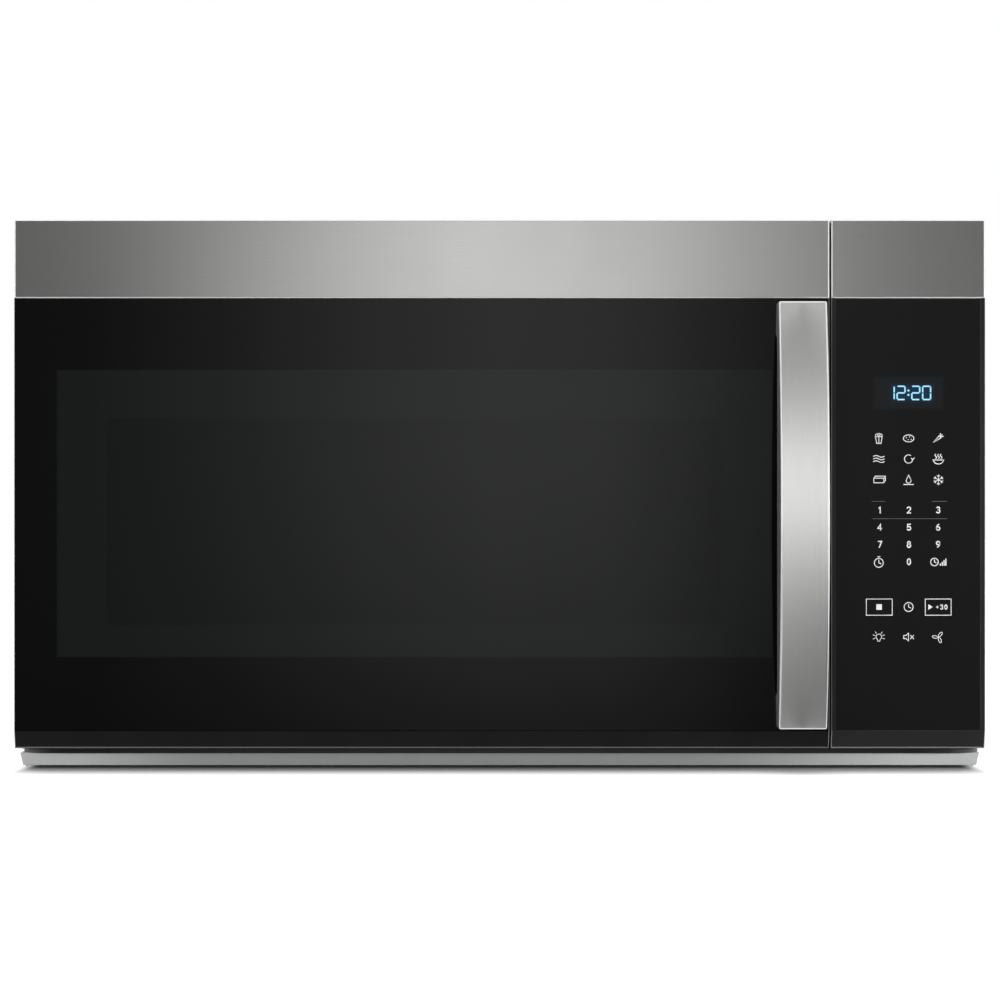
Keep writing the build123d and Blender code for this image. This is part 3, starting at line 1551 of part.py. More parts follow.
def all_nodes():
    """Every node's name with its shape."""
    nodes = {
        "cabinet_wrap": cabinet_wrap(),
        "rear_panel": rear_panel(),
        "base_plate": base_plate(),
        "plenum_panel": plenum_panel(),
        "reveal_rail": reveal_rail(),
        "front_frame": front_frame(),
        "vent_grille": vent_grille(),
        "charcoal_filter": charcoal_filter(),
        "oven_cavity": oven_cavity(),
        "waveguide_cover": waveguide_cover(),
        "waveguide": waveguide(),
        "magnetron": magnetron(),
        "high_voltage_transformer": high_voltage_transformer(),
        "high_voltage_capacitor": high_voltage_capacitor(),
        "high_voltage_diode": high_voltage_diode(),
        "noise_filter_board": noise_filter_board(),
        "cooling_fan_shroud": cooling_fan_shroud(),
        "cooling_fan_motor": cooling_fan_motor(),
        "cooling_fan": cooling_fan(),
        "blower_housing": blower_housing(),
        "blower_motor": blower_motor(),
        "blower_wheels": blower_wheels(),
        "turntable_motor": turntable_motor(),
        "turntable_coupler": turntable_coupler(),
        "turntable_tray": turntable_tray(),
        "roller_ring": roller_ring(),
        "cavity_lamp": cavity_lamp(),
        "cooktop_lamp": cooktop_lamp(),
        "cooktop_lamp_lens": cooktop_lamp_lens(),
        "grease_filter_left": grease_filter(-1),
        "grease_filter_right": grease_filter(1),
        "cord_grommet": cord_grommet(),
        "door_frame": door_frame(),
        "door_trim": rounded_trim(left, door_right),
        "door_glass": door_glass(),
        "door_inner_panel": door_inner_panel(),
        "window_screen": window_screen(),
        "door_inner_glass": door_inner_glass(),
        "choke_cover": choke_cover(),
        "door_handle": door_handle(),
        "handle_screws": handle_screws(),
        "latch_head": latch_head(),
        "latch_spring": latch_spring(),
        "latch_body": latch_body(),
        "interlock_switches": interlock_switches(),
        "primary_plunger": plunger("primary"),
        "secondary_plunger": plunger("secondary"),
        "monitor_plunger": plunger("monitor"),
        "hinge_bracket_upper": hinge_bracket(upper_leaf, tab_up=False),
        "hinge_bracket_lower": hinge_bracket(lower_leaf + hinge_leaf, tab_up=True),
        "hinge_pins": hinge_pins(),
        "control_panel_frame": control_panel_frame(),
        "control_panel_trim": rounded_trim(panel_left, right),
        "control_panel_glass": control_panel_glass(),
        "display_module": display_module(),
        "control_board": control_board(),
        "cabinet_screws": cabinet_screws(),
    }
    for index in range(roller_count):
        nodes[f"roller_{index + 1}"] = roller(index)
    return nodes


os.makedirs("parts", exist_ok=True)
for node_name, shape in all_nodes().items():
    export_step(Pos(0, 0, -origin_height) * shape, f"parts/{node_name}.step")
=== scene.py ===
import bpy
import json
import math
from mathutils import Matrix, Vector


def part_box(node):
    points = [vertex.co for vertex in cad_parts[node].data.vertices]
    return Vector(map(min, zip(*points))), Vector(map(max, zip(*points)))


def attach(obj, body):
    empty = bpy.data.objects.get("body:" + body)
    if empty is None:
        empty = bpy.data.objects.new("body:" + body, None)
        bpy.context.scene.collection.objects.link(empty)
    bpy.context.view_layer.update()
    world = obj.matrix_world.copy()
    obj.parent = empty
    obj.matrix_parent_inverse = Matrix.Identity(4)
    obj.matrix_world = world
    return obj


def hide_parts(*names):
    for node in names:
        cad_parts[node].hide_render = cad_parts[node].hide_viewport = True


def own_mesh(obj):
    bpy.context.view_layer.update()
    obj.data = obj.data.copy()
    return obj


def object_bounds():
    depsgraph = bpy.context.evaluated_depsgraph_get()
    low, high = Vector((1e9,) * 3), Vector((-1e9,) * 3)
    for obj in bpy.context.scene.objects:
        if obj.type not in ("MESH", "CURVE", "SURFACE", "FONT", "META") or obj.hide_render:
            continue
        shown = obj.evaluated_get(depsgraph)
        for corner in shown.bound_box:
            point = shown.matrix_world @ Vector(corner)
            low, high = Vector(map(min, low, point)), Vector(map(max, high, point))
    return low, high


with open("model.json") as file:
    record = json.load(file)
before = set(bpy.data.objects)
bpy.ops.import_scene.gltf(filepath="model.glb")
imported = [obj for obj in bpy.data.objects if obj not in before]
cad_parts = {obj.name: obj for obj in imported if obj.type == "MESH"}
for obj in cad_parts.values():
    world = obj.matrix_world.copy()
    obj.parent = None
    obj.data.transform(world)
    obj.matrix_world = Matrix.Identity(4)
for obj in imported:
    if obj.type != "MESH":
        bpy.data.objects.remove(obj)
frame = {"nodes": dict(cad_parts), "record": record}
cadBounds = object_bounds()
nodes = frame["nodes"]
print("frame loaded,", len(nodes), "nodes")

# Places on the front, taken from the frame or from a photograph 1000 pixels square
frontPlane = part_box("door_glass")[0].y
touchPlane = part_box("control_panel_glass")[0].y
floorLevel = cadBounds[0].z
photoScale = 0.0007825  # metres for a pixel
photoCentreX = 499.68  # column over the frame's middle
photoHorizon = 500.0  # row at the camera's height
horizonHeight = -0.0034  # that row's height in the frame


def frontPlace(pixelX, pixelY):
    return (pixelX - photoCentreX) * photoScale, horizonHeight - (pixelY - photoHorizon) * photoScale


def frontRectanglePlace(left, right, top, bottom, softness):
    # sockets of the frontRectangle group, from the edges of a rectangle in the photograph
    x, z = frontPlace((left + right) / 2, (top + bottom) / 2)
    return {
        "CentreX": x, "CentreZ": z, "HalfWidth": (right - left) / 2 * photoScale,
        "HalfHeight": (bottom - top) / 2 * photoScale, "Softness": softness,
    }


# Small helpers for node trees

def addNode(tree, kind, values=None, **properties):
    node = tree.nodes.new(kind)
    for name, value in properties.items():
        setattr(node, name, value)
    for socket, value in (values or {}).items():
        node.inputs[socket].default_value = value
    return node


def calculate(tree, operation, first, second=None):
    node = addNode(tree, "ShaderNodeMath", operation=operation)
    for index, source in enumerate((first, second)):
        if source is None:
            continue
        if isinstance(source, (int, float)):
            node.inputs[index].default_value = source
        else:
            tree.links.new(source, node.inputs[index])
    return node.outputs[0]


def remap(tree, source, fromLow, fromHigh, toLow, toHigh, smooth=False):
    node = addNode(tree, "ShaderNodeMapRange", {1: fromLow, 2: fromHigh, 3: toLow, 4: toHigh})
    node.interpolation_type = "SMOOTHSTEP" if smooth else "LINEAR"
    tree.links.new(source, node.inputs[0])
    return node.outputs[0]


def blendColors(tree, factor, first, second):
    node = addNode(tree, "ShaderNodeMix", data_type="RGBA")
    tree.links.new(factor, node.inputs[0])
    for index, color in ((6, first), (7, second)):
        if isinstance(color, (tuple, list)):
            node.inputs[index].default_value = (*color[:3], 1)
        else:
            tree.links.new(color, node.inputs[index])
    return node.outputs[2]


def gradedValue(tree, source, stops):
    # stops are (source value, result) pairs
    low, high = stops[0][0], stops[-1][0]
    node = addNode(tree, "ShaderNodeValToRGB")
    ramp = node.color_ramp
    while len(ramp.elements) < len(stops):
        ramp.elements.new(0.5)
    for element, (place, value) in zip(ramp.elements, stops):
        element.position = (place - low) / (high - low)
        element.color = (value, value, value, 1)
    tree.links.new(remap(tree, source, low, high, 0, 1), node.inputs[0])
    return node.outputs[0]


def objectPlace(tree):
    return addNode(tree, "ShaderNodeTexCoord").outputs["Object"]


def splitVector(tree, source):
    split = addNode(tree, "ShaderNodeSeparateXYZ")
    tree.links.new(source, split.inputs[0])
    return split.outputs


def cellPattern(tree, scale, randomness=1.0, **properties):
    cells = addNode(tree, "ShaderNodeTexVoronoi", {"Scale": scale, "Randomness": randomness}, **properties)
    tree.links.new(objectPlace(tree), cells.inputs["Vector"])
    return cells.outputs


def flakeTones(tree, scale):
    tones = addNode(tree, "ShaderNodeSeparateColor")
    tree.links.new(cellPattern(tree, scale)["Color"], tones.inputs[0])
    return tones.outputs


def scaleColor(color, share, lift=0.0):
    return tuple(channel * share + lift for channel in color)


def startGroup(name, inputs, outputs):
    group = bpy.data.node_groups.new(name, "ShaderNodeTree")
    for socketName, (kind, value) in inputs.items():
        socket = group.interface.new_socket(socketName, in_out="INPUT", socket_type=kind)
        socket.default_value = value
    for socketName in outputs:
        group.interface.new_socket(socketName, in_out="OUTPUT", socket_type="NodeSocketFloat")
    return group, group.nodes.new("NodeGroupInput"), group.nodes.new("NodeGroupOutput")


def useGroup(tree, group, **values):
    node = addNode(tree, "ShaderNodeGroup")
    node.node_tree = group
    for name, value in values.items():
        node.inputs[name].default_value = value
    return node.outputs[0]


def startMaterial(name, settings):
    material = bpy.data.materials.new(name)
    material.use_nodes = True
    surface = material.node_tree.nodes["Principled BSDF"]
    for socket, value in settings.items():
        if isinstance(value, (tuple, list)) and len(value) == 3:
            value = (*value, 1)
        surface.inputs[socket].default_value = value
    return material, material.node_tree, surface


def setColor(tree, surface, tint):
    tree.links.new(tint, surface.inputs["Base Color"])


def setRoughness(tree, surface, source, span):
    tree.links.new(remap(tree, source, 0, 1, *span), surface.inputs["Roughness"])


def addBump(tree, surface, height, bump):
    # bump is (strength, depth in metres)
    node = addNode(tree, "ShaderNodeBump", {"Strength": bump[0], "Distance": bump[1]})
    tree.links.new(height, node.inputs["Height"])
    tree.links.new(node.outputs[0], surface.inputs["Normal"])


# Effects that several finishes share: the noise of each, and the span of it that becomes 0 to 1

effectLooks = {
    "brushedGrain": {"noise": {"Scale": 1.0, "Detail": 4.0, "Roughness": 0.65}, "span": (0.3, 0.7)},
    "handlingMarks": {"noise": {"Detail": 5.0, "Roughness": 0.6, "Distortion": 0.4}, "span": (0.35, 0.7)},
    "orangePeel": {"noise": {"Detail": 2.0, "Roughness": 0.5}},
}


def makeBrushedGrain(look):
    group, start, end = startGroup("brushedGrain", {"Stretch": ("NodeSocketVector", (1, 1, 1))}, ["Lines"])
    stretched = addNode(group, "ShaderNodeVectorMath", operation="MULTIPLY")
    group.links.new(objectPlace(group), stretched.inputs[0])
    group.links.new(start.outputs["Stretch"], stretched.inputs[1])
    fine = addNode(group, "ShaderNodeTexNoise", look["noise"])
    group.links.new(stretched.outputs[0], fine.inputs["Vector"])
    group.links.new(remap(group, fine.outputs[0], *look["span"], 0, 1), end.inputs[0])
    return group


def makeHandlingMarks(look):
    group, start, end = startGroup("handlingMarks", {"Scale": ("NodeSocketFloat", 6.0)}, ["Marks"])
    cloud = addNode(group, "ShaderNodeTexNoise", look["noise"])
    group.links.new(objectPlace(group), cloud.inputs["Vector"])
    group.links.new(start.outputs["Scale"], cloud.inputs["Scale"])
    group.links.new(remap(group, cloud.outputs[0], *look["span"], 0, 1, smooth=True), end.inputs[0])
    return group


def makeOrangePeel(look):
    group, start, end = startGroup("orangePeel", {"Scale": ("NodeSocketFloat", 600.0)}, ["Height"])
    peel = addNode(group, "ShaderNodeTexNoise", look["noise"])
    group.links.new(objectPlace(group), peel.inputs["Vector"])
    group.links.new(start.outputs["Scale"], peel.inputs["Scale"])
    group.links.new(peel.outputs[0], end.inputs[0])
    return group


def makeFrontRectangle():
    # 1 inside a rectangle in x and z, 0 outside it
    sockets = {
        "CentreX": ("NodeSocketFloat", 0.0), "CentreZ": ("NodeSocketFloat", 0.0),
        "HalfWidth": ("NodeSocketFloat", 0.1), "HalfHeight": ("NodeSocketFloat", 0.1),
        "Softness": ("NodeSocketFloat", 0.001),
    }
    group, start, end = startGroup("frontRectangle", sockets, ["Inside"])
    place = splitVector(group, objectPlace(group))
    distances = []
    for axis, centre, half in ((0, "CentreX", "HalfWidth"), (2, "CentreZ", "HalfHeight")):
        offset = calculate(group, "SUBTRACT", place[axis], start.outputs[centre])
        distance = calculate(group, "ABSOLUTE", offset)
        distances.append(calculate(group, "SUBTRACT", distance, start.outputs[half]))
    outside = calculate(group, "MAXIMUM", *distances)
    share = calculate(group, "DIVIDE", outside, start.outputs["Softness"])
    group.links.new(remap(group, share, -1, 1, 1, 0, smooth=True), end.inputs[0])
    return group


def makePunchedHoles():
    # 1 in the holes of a staggered pattern in x and z
    sockets = {"Pitch": ("NodeSocketFloat", 0.0016), "Share": ("NodeSocketFloat", 0.34)}
    group, start, end = startGroup("punchedHoles", sockets, ["Hole"])
    turned = addNode(group, "ShaderNodeMapping", {"Rotation": (0, math.radians(45), 0)})
    group.links.new(objectPlace(group), turned.inputs[0])
    place = splitVector(group, turned.outputs[0])
    cell = addNode(group, "ShaderNodeCombineXYZ")
    group.links.new(calculate(group, "DIVIDE", place[0], start.outputs["Pitch"]), cell.inputs[0])
    group.links.new(calculate(group, "DIVIDE", place[2], start.outputs["Pitch"]), cell.inputs[1])
    grid = addNode(group, "ShaderNodeTexVoronoi", {"Scale": 1.0, "Randomness": 0.0}, voronoi_dimensions="2D")
    group.links.new(cell.outputs[0], grid.inputs["Vector"])
    hole = calculate(group, "LESS_THAN", grid.outputs["Distance"], start.outputs["Share"])
    group.links.new(hole, end.inputs[0])
    return group


def makeRoundedEdges():
    # 1 on rounded and bevelled edges of the front, 0 on its flat faces and on its sides; the finishes paint a
    # highlight where it is 1
    sockets = {"Flat": ("NodeSocketFloat", 0.95), "Side": ("NodeSocketFloat", 0.25)}
    group, start, end = startGroup("roundedEdges", sockets, ["Edge"])
    normal = splitVector(group, addNode(group, "ShaderNodeTexCoord").outputs["Normal"])
    facing = calculate(group, "ABSOLUTE", normal[1])
    turned = calculate(group, "LESS_THAN", facing, start.outputs["Flat"])
    ahead = calculate(group, "GREATER_THAN", facing, start.outputs["Side"])
    group.links.new(calculate(group, "MULTIPLY", turned, ahead), end.inputs[0])
    return group


brushedGrain = makeBrushedGrain(effectLooks["brushedGrain"])
handlingMarks = makeHandlingMarks(effectLooks["handlingMarks"])
orangePeel = makeOrangePeel(effectLooks["orangePeel"])
frontRectangle = makeFrontRectangle()
punchedHoles = makePunchedHoles()
roundedEdges = makeRoundedEdges()
print("shared effects made")


# Finishes: each has its basics, which a look in finishLooks adds to or changes

paintBasics = {
    "gloss": 0.5, "fade": 1.12, "lift": 0.002, "marksScale": 5.0, "peelScale": 700.0, "bump": (0.25, 0.00006),
}


def paintFinish(name, look):
    look = {**paintBasics, **look}
    material, tree, surface = startMaterial(name, {"Specular IOR Level": look["gloss"]})
    marks = useGroup(tree, handlingMarks, Scale=look["marksScale"])
    tint = blendColors(tree, marks, look["color"], scaleColor(look["color"], look["fade"], look["lift"]))
    if "speckle" in look:
        dot = remap(tree, cellPattern(tree, look["speckleScale"])["Distance"], *look["speckleSpan"], 1, 0)
        tint = blendColors(tree, dot, tint, look["speckle"])
    setColor(tree, surface, tint)
    setRoughness(tree, surface, marks, look["roughness"])
    addBump(tree, surface, useGroup(tree, orangePeel, Scale=look["peelScale"]), look["bump"])
    return material


plasticBasics = {
    "gloss": 0.4, "rub": 1.15, "lift": 0.003, "marksScale": 9.0, "grainScale": 1500.0,
    "bump": (0.35, 0.00005),
}


def plasticFinish(name, look):
    look = {**plasticBasics, **look}
    material, tree, surface = startMaterial(name, {"Specular IOR Level": look["gloss"]})
    marks = useGroup(tree, handlingMarks, Scale=look["marksScale"])
    tint = blendColors(tree, marks, look["color"], scaleColor(look["color"], look["rub"], look["lift"]))
    # a lighter colour on the rounded edges: painted highlight
    if "edge" in look:
        tint = blendColors(tree, useGroup(tree, roundedEdges), tint, look["edge"])
    # lighter towards the ends along x: painted light where side light would reach the ends
    if "ends" in look:
        across = splitVector(tree, objectPlace(tree))[0]
        tint = blendColors(tree, gradedValue(tree, across, look["endStops"]), tint, look["ends"])
    setColor(tree, surface, tint)
    setRoughness(tree, surface, marks, look["roughness"])
    addBump(tree, surface, useGroup(tree, orangePeel, Scale=look["grainScale"]), look["bump"])
    return material


brushedBasics = {
    "anisotropy": 0.0, "turn": 0.0, "broadShare": 0.4, "broadStretch": 0.22, "marksScale": 4.0,
    "marksRoughness": 0.03, "bump": (0.12, 0.00003),
}


def brushedFinish(name, look):
    look = {**brushedBasics, **look}
    settings = {"Anisotropic": look["anisotropy"], "Anisotropic Rotation": look["turn"]}
    material, tree, surface = startMaterial(name, settings)
    lines = useGroup(tree, brushedGrain, Stretch=look["stretch"])
    broad = useGroup(tree, brushedGrain, Stretch=scaleColor(look["stretch"], look["broadStretch"]))
    marks = useGroup(tree, handlingMarks, Scale=look["marksScale"])
    fineShare = calculate(tree, "MULTIPLY", lines, 1 - look["broadShare"])
    both = calculate(tree, "ADD", fineShare, calculate(tree, "MULTIPLY", broad, look["broadShare"]))
    dark = scaleColor(look["color"], 1 - look["contrast"])
    light = scaleColor(look["color"], 1 + look["contrast"])
    tint = blendColors(tree, both, dark, light)
    # a lighter, less metallic colour on the rounded edges: painted highlight
    if "edge" in look:
        edge = useGroup(tree, roundedEdges, Flat=look["edgeFrom"])
        tint = blendColors(tree, edge, tint, look["edge"])
        tree.links.new(remap(tree, edge, 0, 1, 1, look["edgeMetal"]), surface.inputs["Metallic"])
    else:
        surface.inputs["Metallic"].default_value = 1.0
    setColor(tree, surface, tint)
    handled = calculate(tree, "MULTIPLY", marks, look["marksRoughness"])
    varied = calculate(tree, "ADD", remap(tree, lines, 0, 1, *look["roughness"]), handled)
    tree.links.new(varied, surface.inputs["Roughness"])
    addBump(tree, surface, lines, look["bump"])
    return material


zincBasics = {"spangle": 90.0, "shade": 0.86, "marksScale": 7.0, "peelScale": 900.0, "bump": (0.15, 0.00004)}


def zincFinish(name, look):
    look = {**zincBasics, **look}
    material, tree, surface = startMaterial(name, {"Metallic": 1.0})
    tone = flakeTones(tree, look["spangle"])[0]
    marks = useGroup(tree, handlingMarks, Scale=look["marksScale"])
    mixed = calculate(tree, "MULTIPLY", calculate(tree, "ADD", tone, marks), 0.5)
    setColor(tree, surface, blendColors(tree, mixed, scaleColor(look["color"], look["shade"]), look["color"]))
    setRoughness(tree, surface, tone, look["roughness"])
    addBump(tree, surface, useGroup(tree, orangePeel, Scale=look["peelScale"]), look["bump"])
    return material


clearBasics = {"marksScale": 12.0, "waveScale": 60.0, "bump": (0.08, 0.0003)}
glassIor = 1.5


def clearFinish(name, look):
    look = {**clearBasics, **look}
    settings = {"Base Color": look["color"], "Transmission Weight": 1.0, "IOR": glassIor, "Metallic": 0.0}
    material, tree, surface = startMaterial(name, settings)
    setRoughness(tree, surface, useGroup(tree, handlingMarks, Scale=look["marksScale"]), look["roughness"])
    addBump(tree, surface, useGroup(tree, orangePeel, Scale=look["waveScale"]), look["bump"])
    return material


doorGlassLook = {
    "border": (0.0031, 0.0031, 0.0031), "edgeSoftness": 0.0009,
    "window": (0.0070, 0.0080, 0.0077), "windowEdges": (57, 772, 370, 657),
    "screen": (0.0056, 0.0062, 0.0060), "screenEdges": (107, 722, 418, 625),
    "reflection": 0.125, "roughness": (0.035, 0.055), "marksScale": 6.0,
    "waveScale": 9.0, "bump": (0.02, 0.0005),
}


def doorGlassFinish(look):
    settings = {"Specular IOR Level": look["reflection"], "IOR": glassIor}
    material, tree, surface = startMaterial("blackDoorGlass", settings)
    tint = look["border"]
    for edges, color in (("windowEdges", "window"), ("screenEdges", "screen")):
        inside = useGroup(tree, frontRectangle, **frontRectanglePlace(*look[edges], look["edgeSoftness"]))
        tint = blendColors(tree, inside, tint, look[color])
    setColor(tree, surface, tint)
    setRoughness(tree, surface, useGroup(tree, handlingMarks, Scale=look["marksScale"]), look["roughness"])
    addBump(tree, surface, useGroup(tree, orangePeel, Scale=look["waveScale"]), look["bump"])
    return material


touchGlassLook = {
    # the lighter edge colour is a painted highlight on the glass's rounded edges
    "color": (0.0070, 0.0070, 0.0069), "edge": (0.060, 0.060, 0.060),
    "displayTint": (0.0094, 0.0108, 0.0118), "displayEdges": (874, 943, 377, 409), "displaySoftness": 0.002,
    # glow, its strength, edges and softness: a painted glow on the glass around the clock digits
    "glow": (0.0, 0.10, 0.24), "paintedGlowStrength": 0.20,
    "paintedGlowEdges": (893, 931, 386, 400), "paintedGlowSoftness": 0.0045,
    "reflection": 0.125, "roughness": (0.04, 0.07), "marksScale": 11.0,
}


def touchGlassFinish(look):
    settings = {
        "Specular IOR Level": look["reflection"], "IOR": glassIor, "Emission Strength": look["paintedGlowStrength"],
    }
    material, tree, surface = startMaterial("blackTouchGlass", settings)
    displayPlace = frontRectanglePlace(*look["displayEdges"], look["displaySoftness"])
    display = useGroup(tree, frontRectangle, **displayPlace)
    tint = blendColors(tree, display, look["color"], look["displayTint"])
    # rounded edges take the lighter edge colour: painted highlight
    setColor(tree, surface, blendColors(tree, useGroup(tree, roundedEdges), tint, look["edge"]))
    # painted glow of the clock's light on the glass around the digits
    paintedGlowArea = useGroup(tree, frontRectangle, **frontRectanglePlace(*look["paintedGlowEdges"], look["paintedGlowSoftness"]))
    tree.links.new(blendColors(tree, paintedGlowArea, (0, 0, 0), look["glow"]), surface.inputs["Emission Color"])
    setRoughness(tree, surface, useGroup(tree, handlingMarks, Scale=look["marksScale"]), look["roughness"])
    return material


def screenFinish(name, look):
    material, tree, surface = startMaterial(name, {"Specular IOR Level": look["gloss"]})
    hole = useGroup(tree, punchedHoles, Pitch=look["pitch"], Share=look["share"])
    setColor(tree, surface, blendColors(tree, hole, look["color"], look["holeColor"]))
    setRoughness(tree, surface, hole, look["roughness"])
    addBump(tree, surface, calculate(tree, "SUBTRACT", 1.0, hole), look["bump"])
    return material


def meshFinish(name, look):
    # two crossing layers of wire
    material, tree, surface = startMaterial(name, {"Metallic": 1.0})
    heights = []
    for angle in (look["angle"], -look["angle"]):
        turned = addNode(tree, "ShaderNodeMapping", {"Rotation": (0, 0, math.radians(angle))})
        tree.links.new(objectPlace(tree), turned.inputs[0])
        wave = addNode(tree, "ShaderNodeTexWave", look["wires"])
        tree.links.new(turned.outputs[0], wave.inputs["Vector"])
        heights.append(wave.outputs["Fac"])
    weave = calculate(tree, "MAXIMUM", *heights)
    setColor(tree, surface, blendColors(tree, weave, look["shade"], look["color"]))
    setRoughness(tree, surface, weave, look["roughness"])
    addBump(tree, surface, weave, look["bump"])
    return material


def boardFinish(name, look):
    material, tree, surface = startMaterial(name, {"Specular IOR Level": look["gloss"]})
    tracks = cellPattern(tree, look["trackScale"], look["trackRandomness"], distance="MANHATTAN")
    line = remap(tree, tracks["Distance"], *look["trackSpan"], 0, 1)
    setColor(tree, surface, blendColors(tree, line, look["color"], look["track"]))
    setRoughness(tree, surface, line, look["roughness"])
    addBump(tree, surface, line, look["bump"])
    return material


def laminatedFinish(name, look):
    material, tree, surface = startMaterial(name, {"Metallic": look["metal"]})
    layers = addNode(tree, "ShaderNodeTexWave", look["layers"], bands_direction="Y")
    tree.links.new(objectPlace(tree), layers.inputs["Vector"])
    marks = useGroup(tree, handlingMarks, Scale=look["marksScale"])
    tint = blendColors(tree, layers.outputs["Fac"], scaleColor(look["color"], look["shade"]), look["color"])
    setColor(tree, surface, blendColors(tree, marks, tint, look["varnish"]))
    setRoughness(tree, surface, marks, look["roughness"])
    addBump(tree, surface, layers.outputs["Fac"], look["bump"])
    return material


def foamFinish(name, look):
    material, tree, surface = startMaterial(name, {"Specular IOR Level": look["gloss"]})
    cells = cellPattern(tree, look["cellScale"], feature="DISTANCE_TO_EDGE")
    wall = remap(tree, cells["Distance"], *look["wallSpan"], 1, 0)
    setColor(tree, surface, blendColors(tree, wall, look["shade"], look["color"]))
    setRoughness(tree, surface, wall, look["roughness"])
    addBump(tree, surface, wall, look["bump"])
    return material


def micaFinish(name, look):
    material, tree, surface = startMaterial(name, {"Specular IOR Level": look["gloss"]})
    tones = flakeTones(tree, look["flakeScale"])
    setColor(tree, surface, blendColors(tree, tones[0], look["shade"], look["color"]))
    setRoughness(tree, surface, tones[1], look["roughness"])
    addBump(tree, surface, tones[0], look["bump"])
    return material


inkBasics = {"gloss": 0.2, "fade": 0.9, "marksScale": 60.0, "roughness": (0.4, 0.55)}


def inkFinish(name, look):
    look = {**inkBasics, **look}
    settings = {"Specular IOR Level": look["gloss"], "Emission Strength": look["glow"]}
    material, tree, surface = startMaterial(name, settings)
    marks = useGroup(tree, handlingMarks, Scale=look["marksScale"])
    ink = blendColors(tree, marks, look["color"], scaleColor(look["color"], look["fade"]))
    setColor(tree, surface, ink)
    # the ink glows as well: real light for the clock digits, painted light for the printed keys and lines
    tree.links.new(ink, surface.inputs["Emission Color"])
    setRoughness(tree, surface, marks, look["roughness"])
    return material


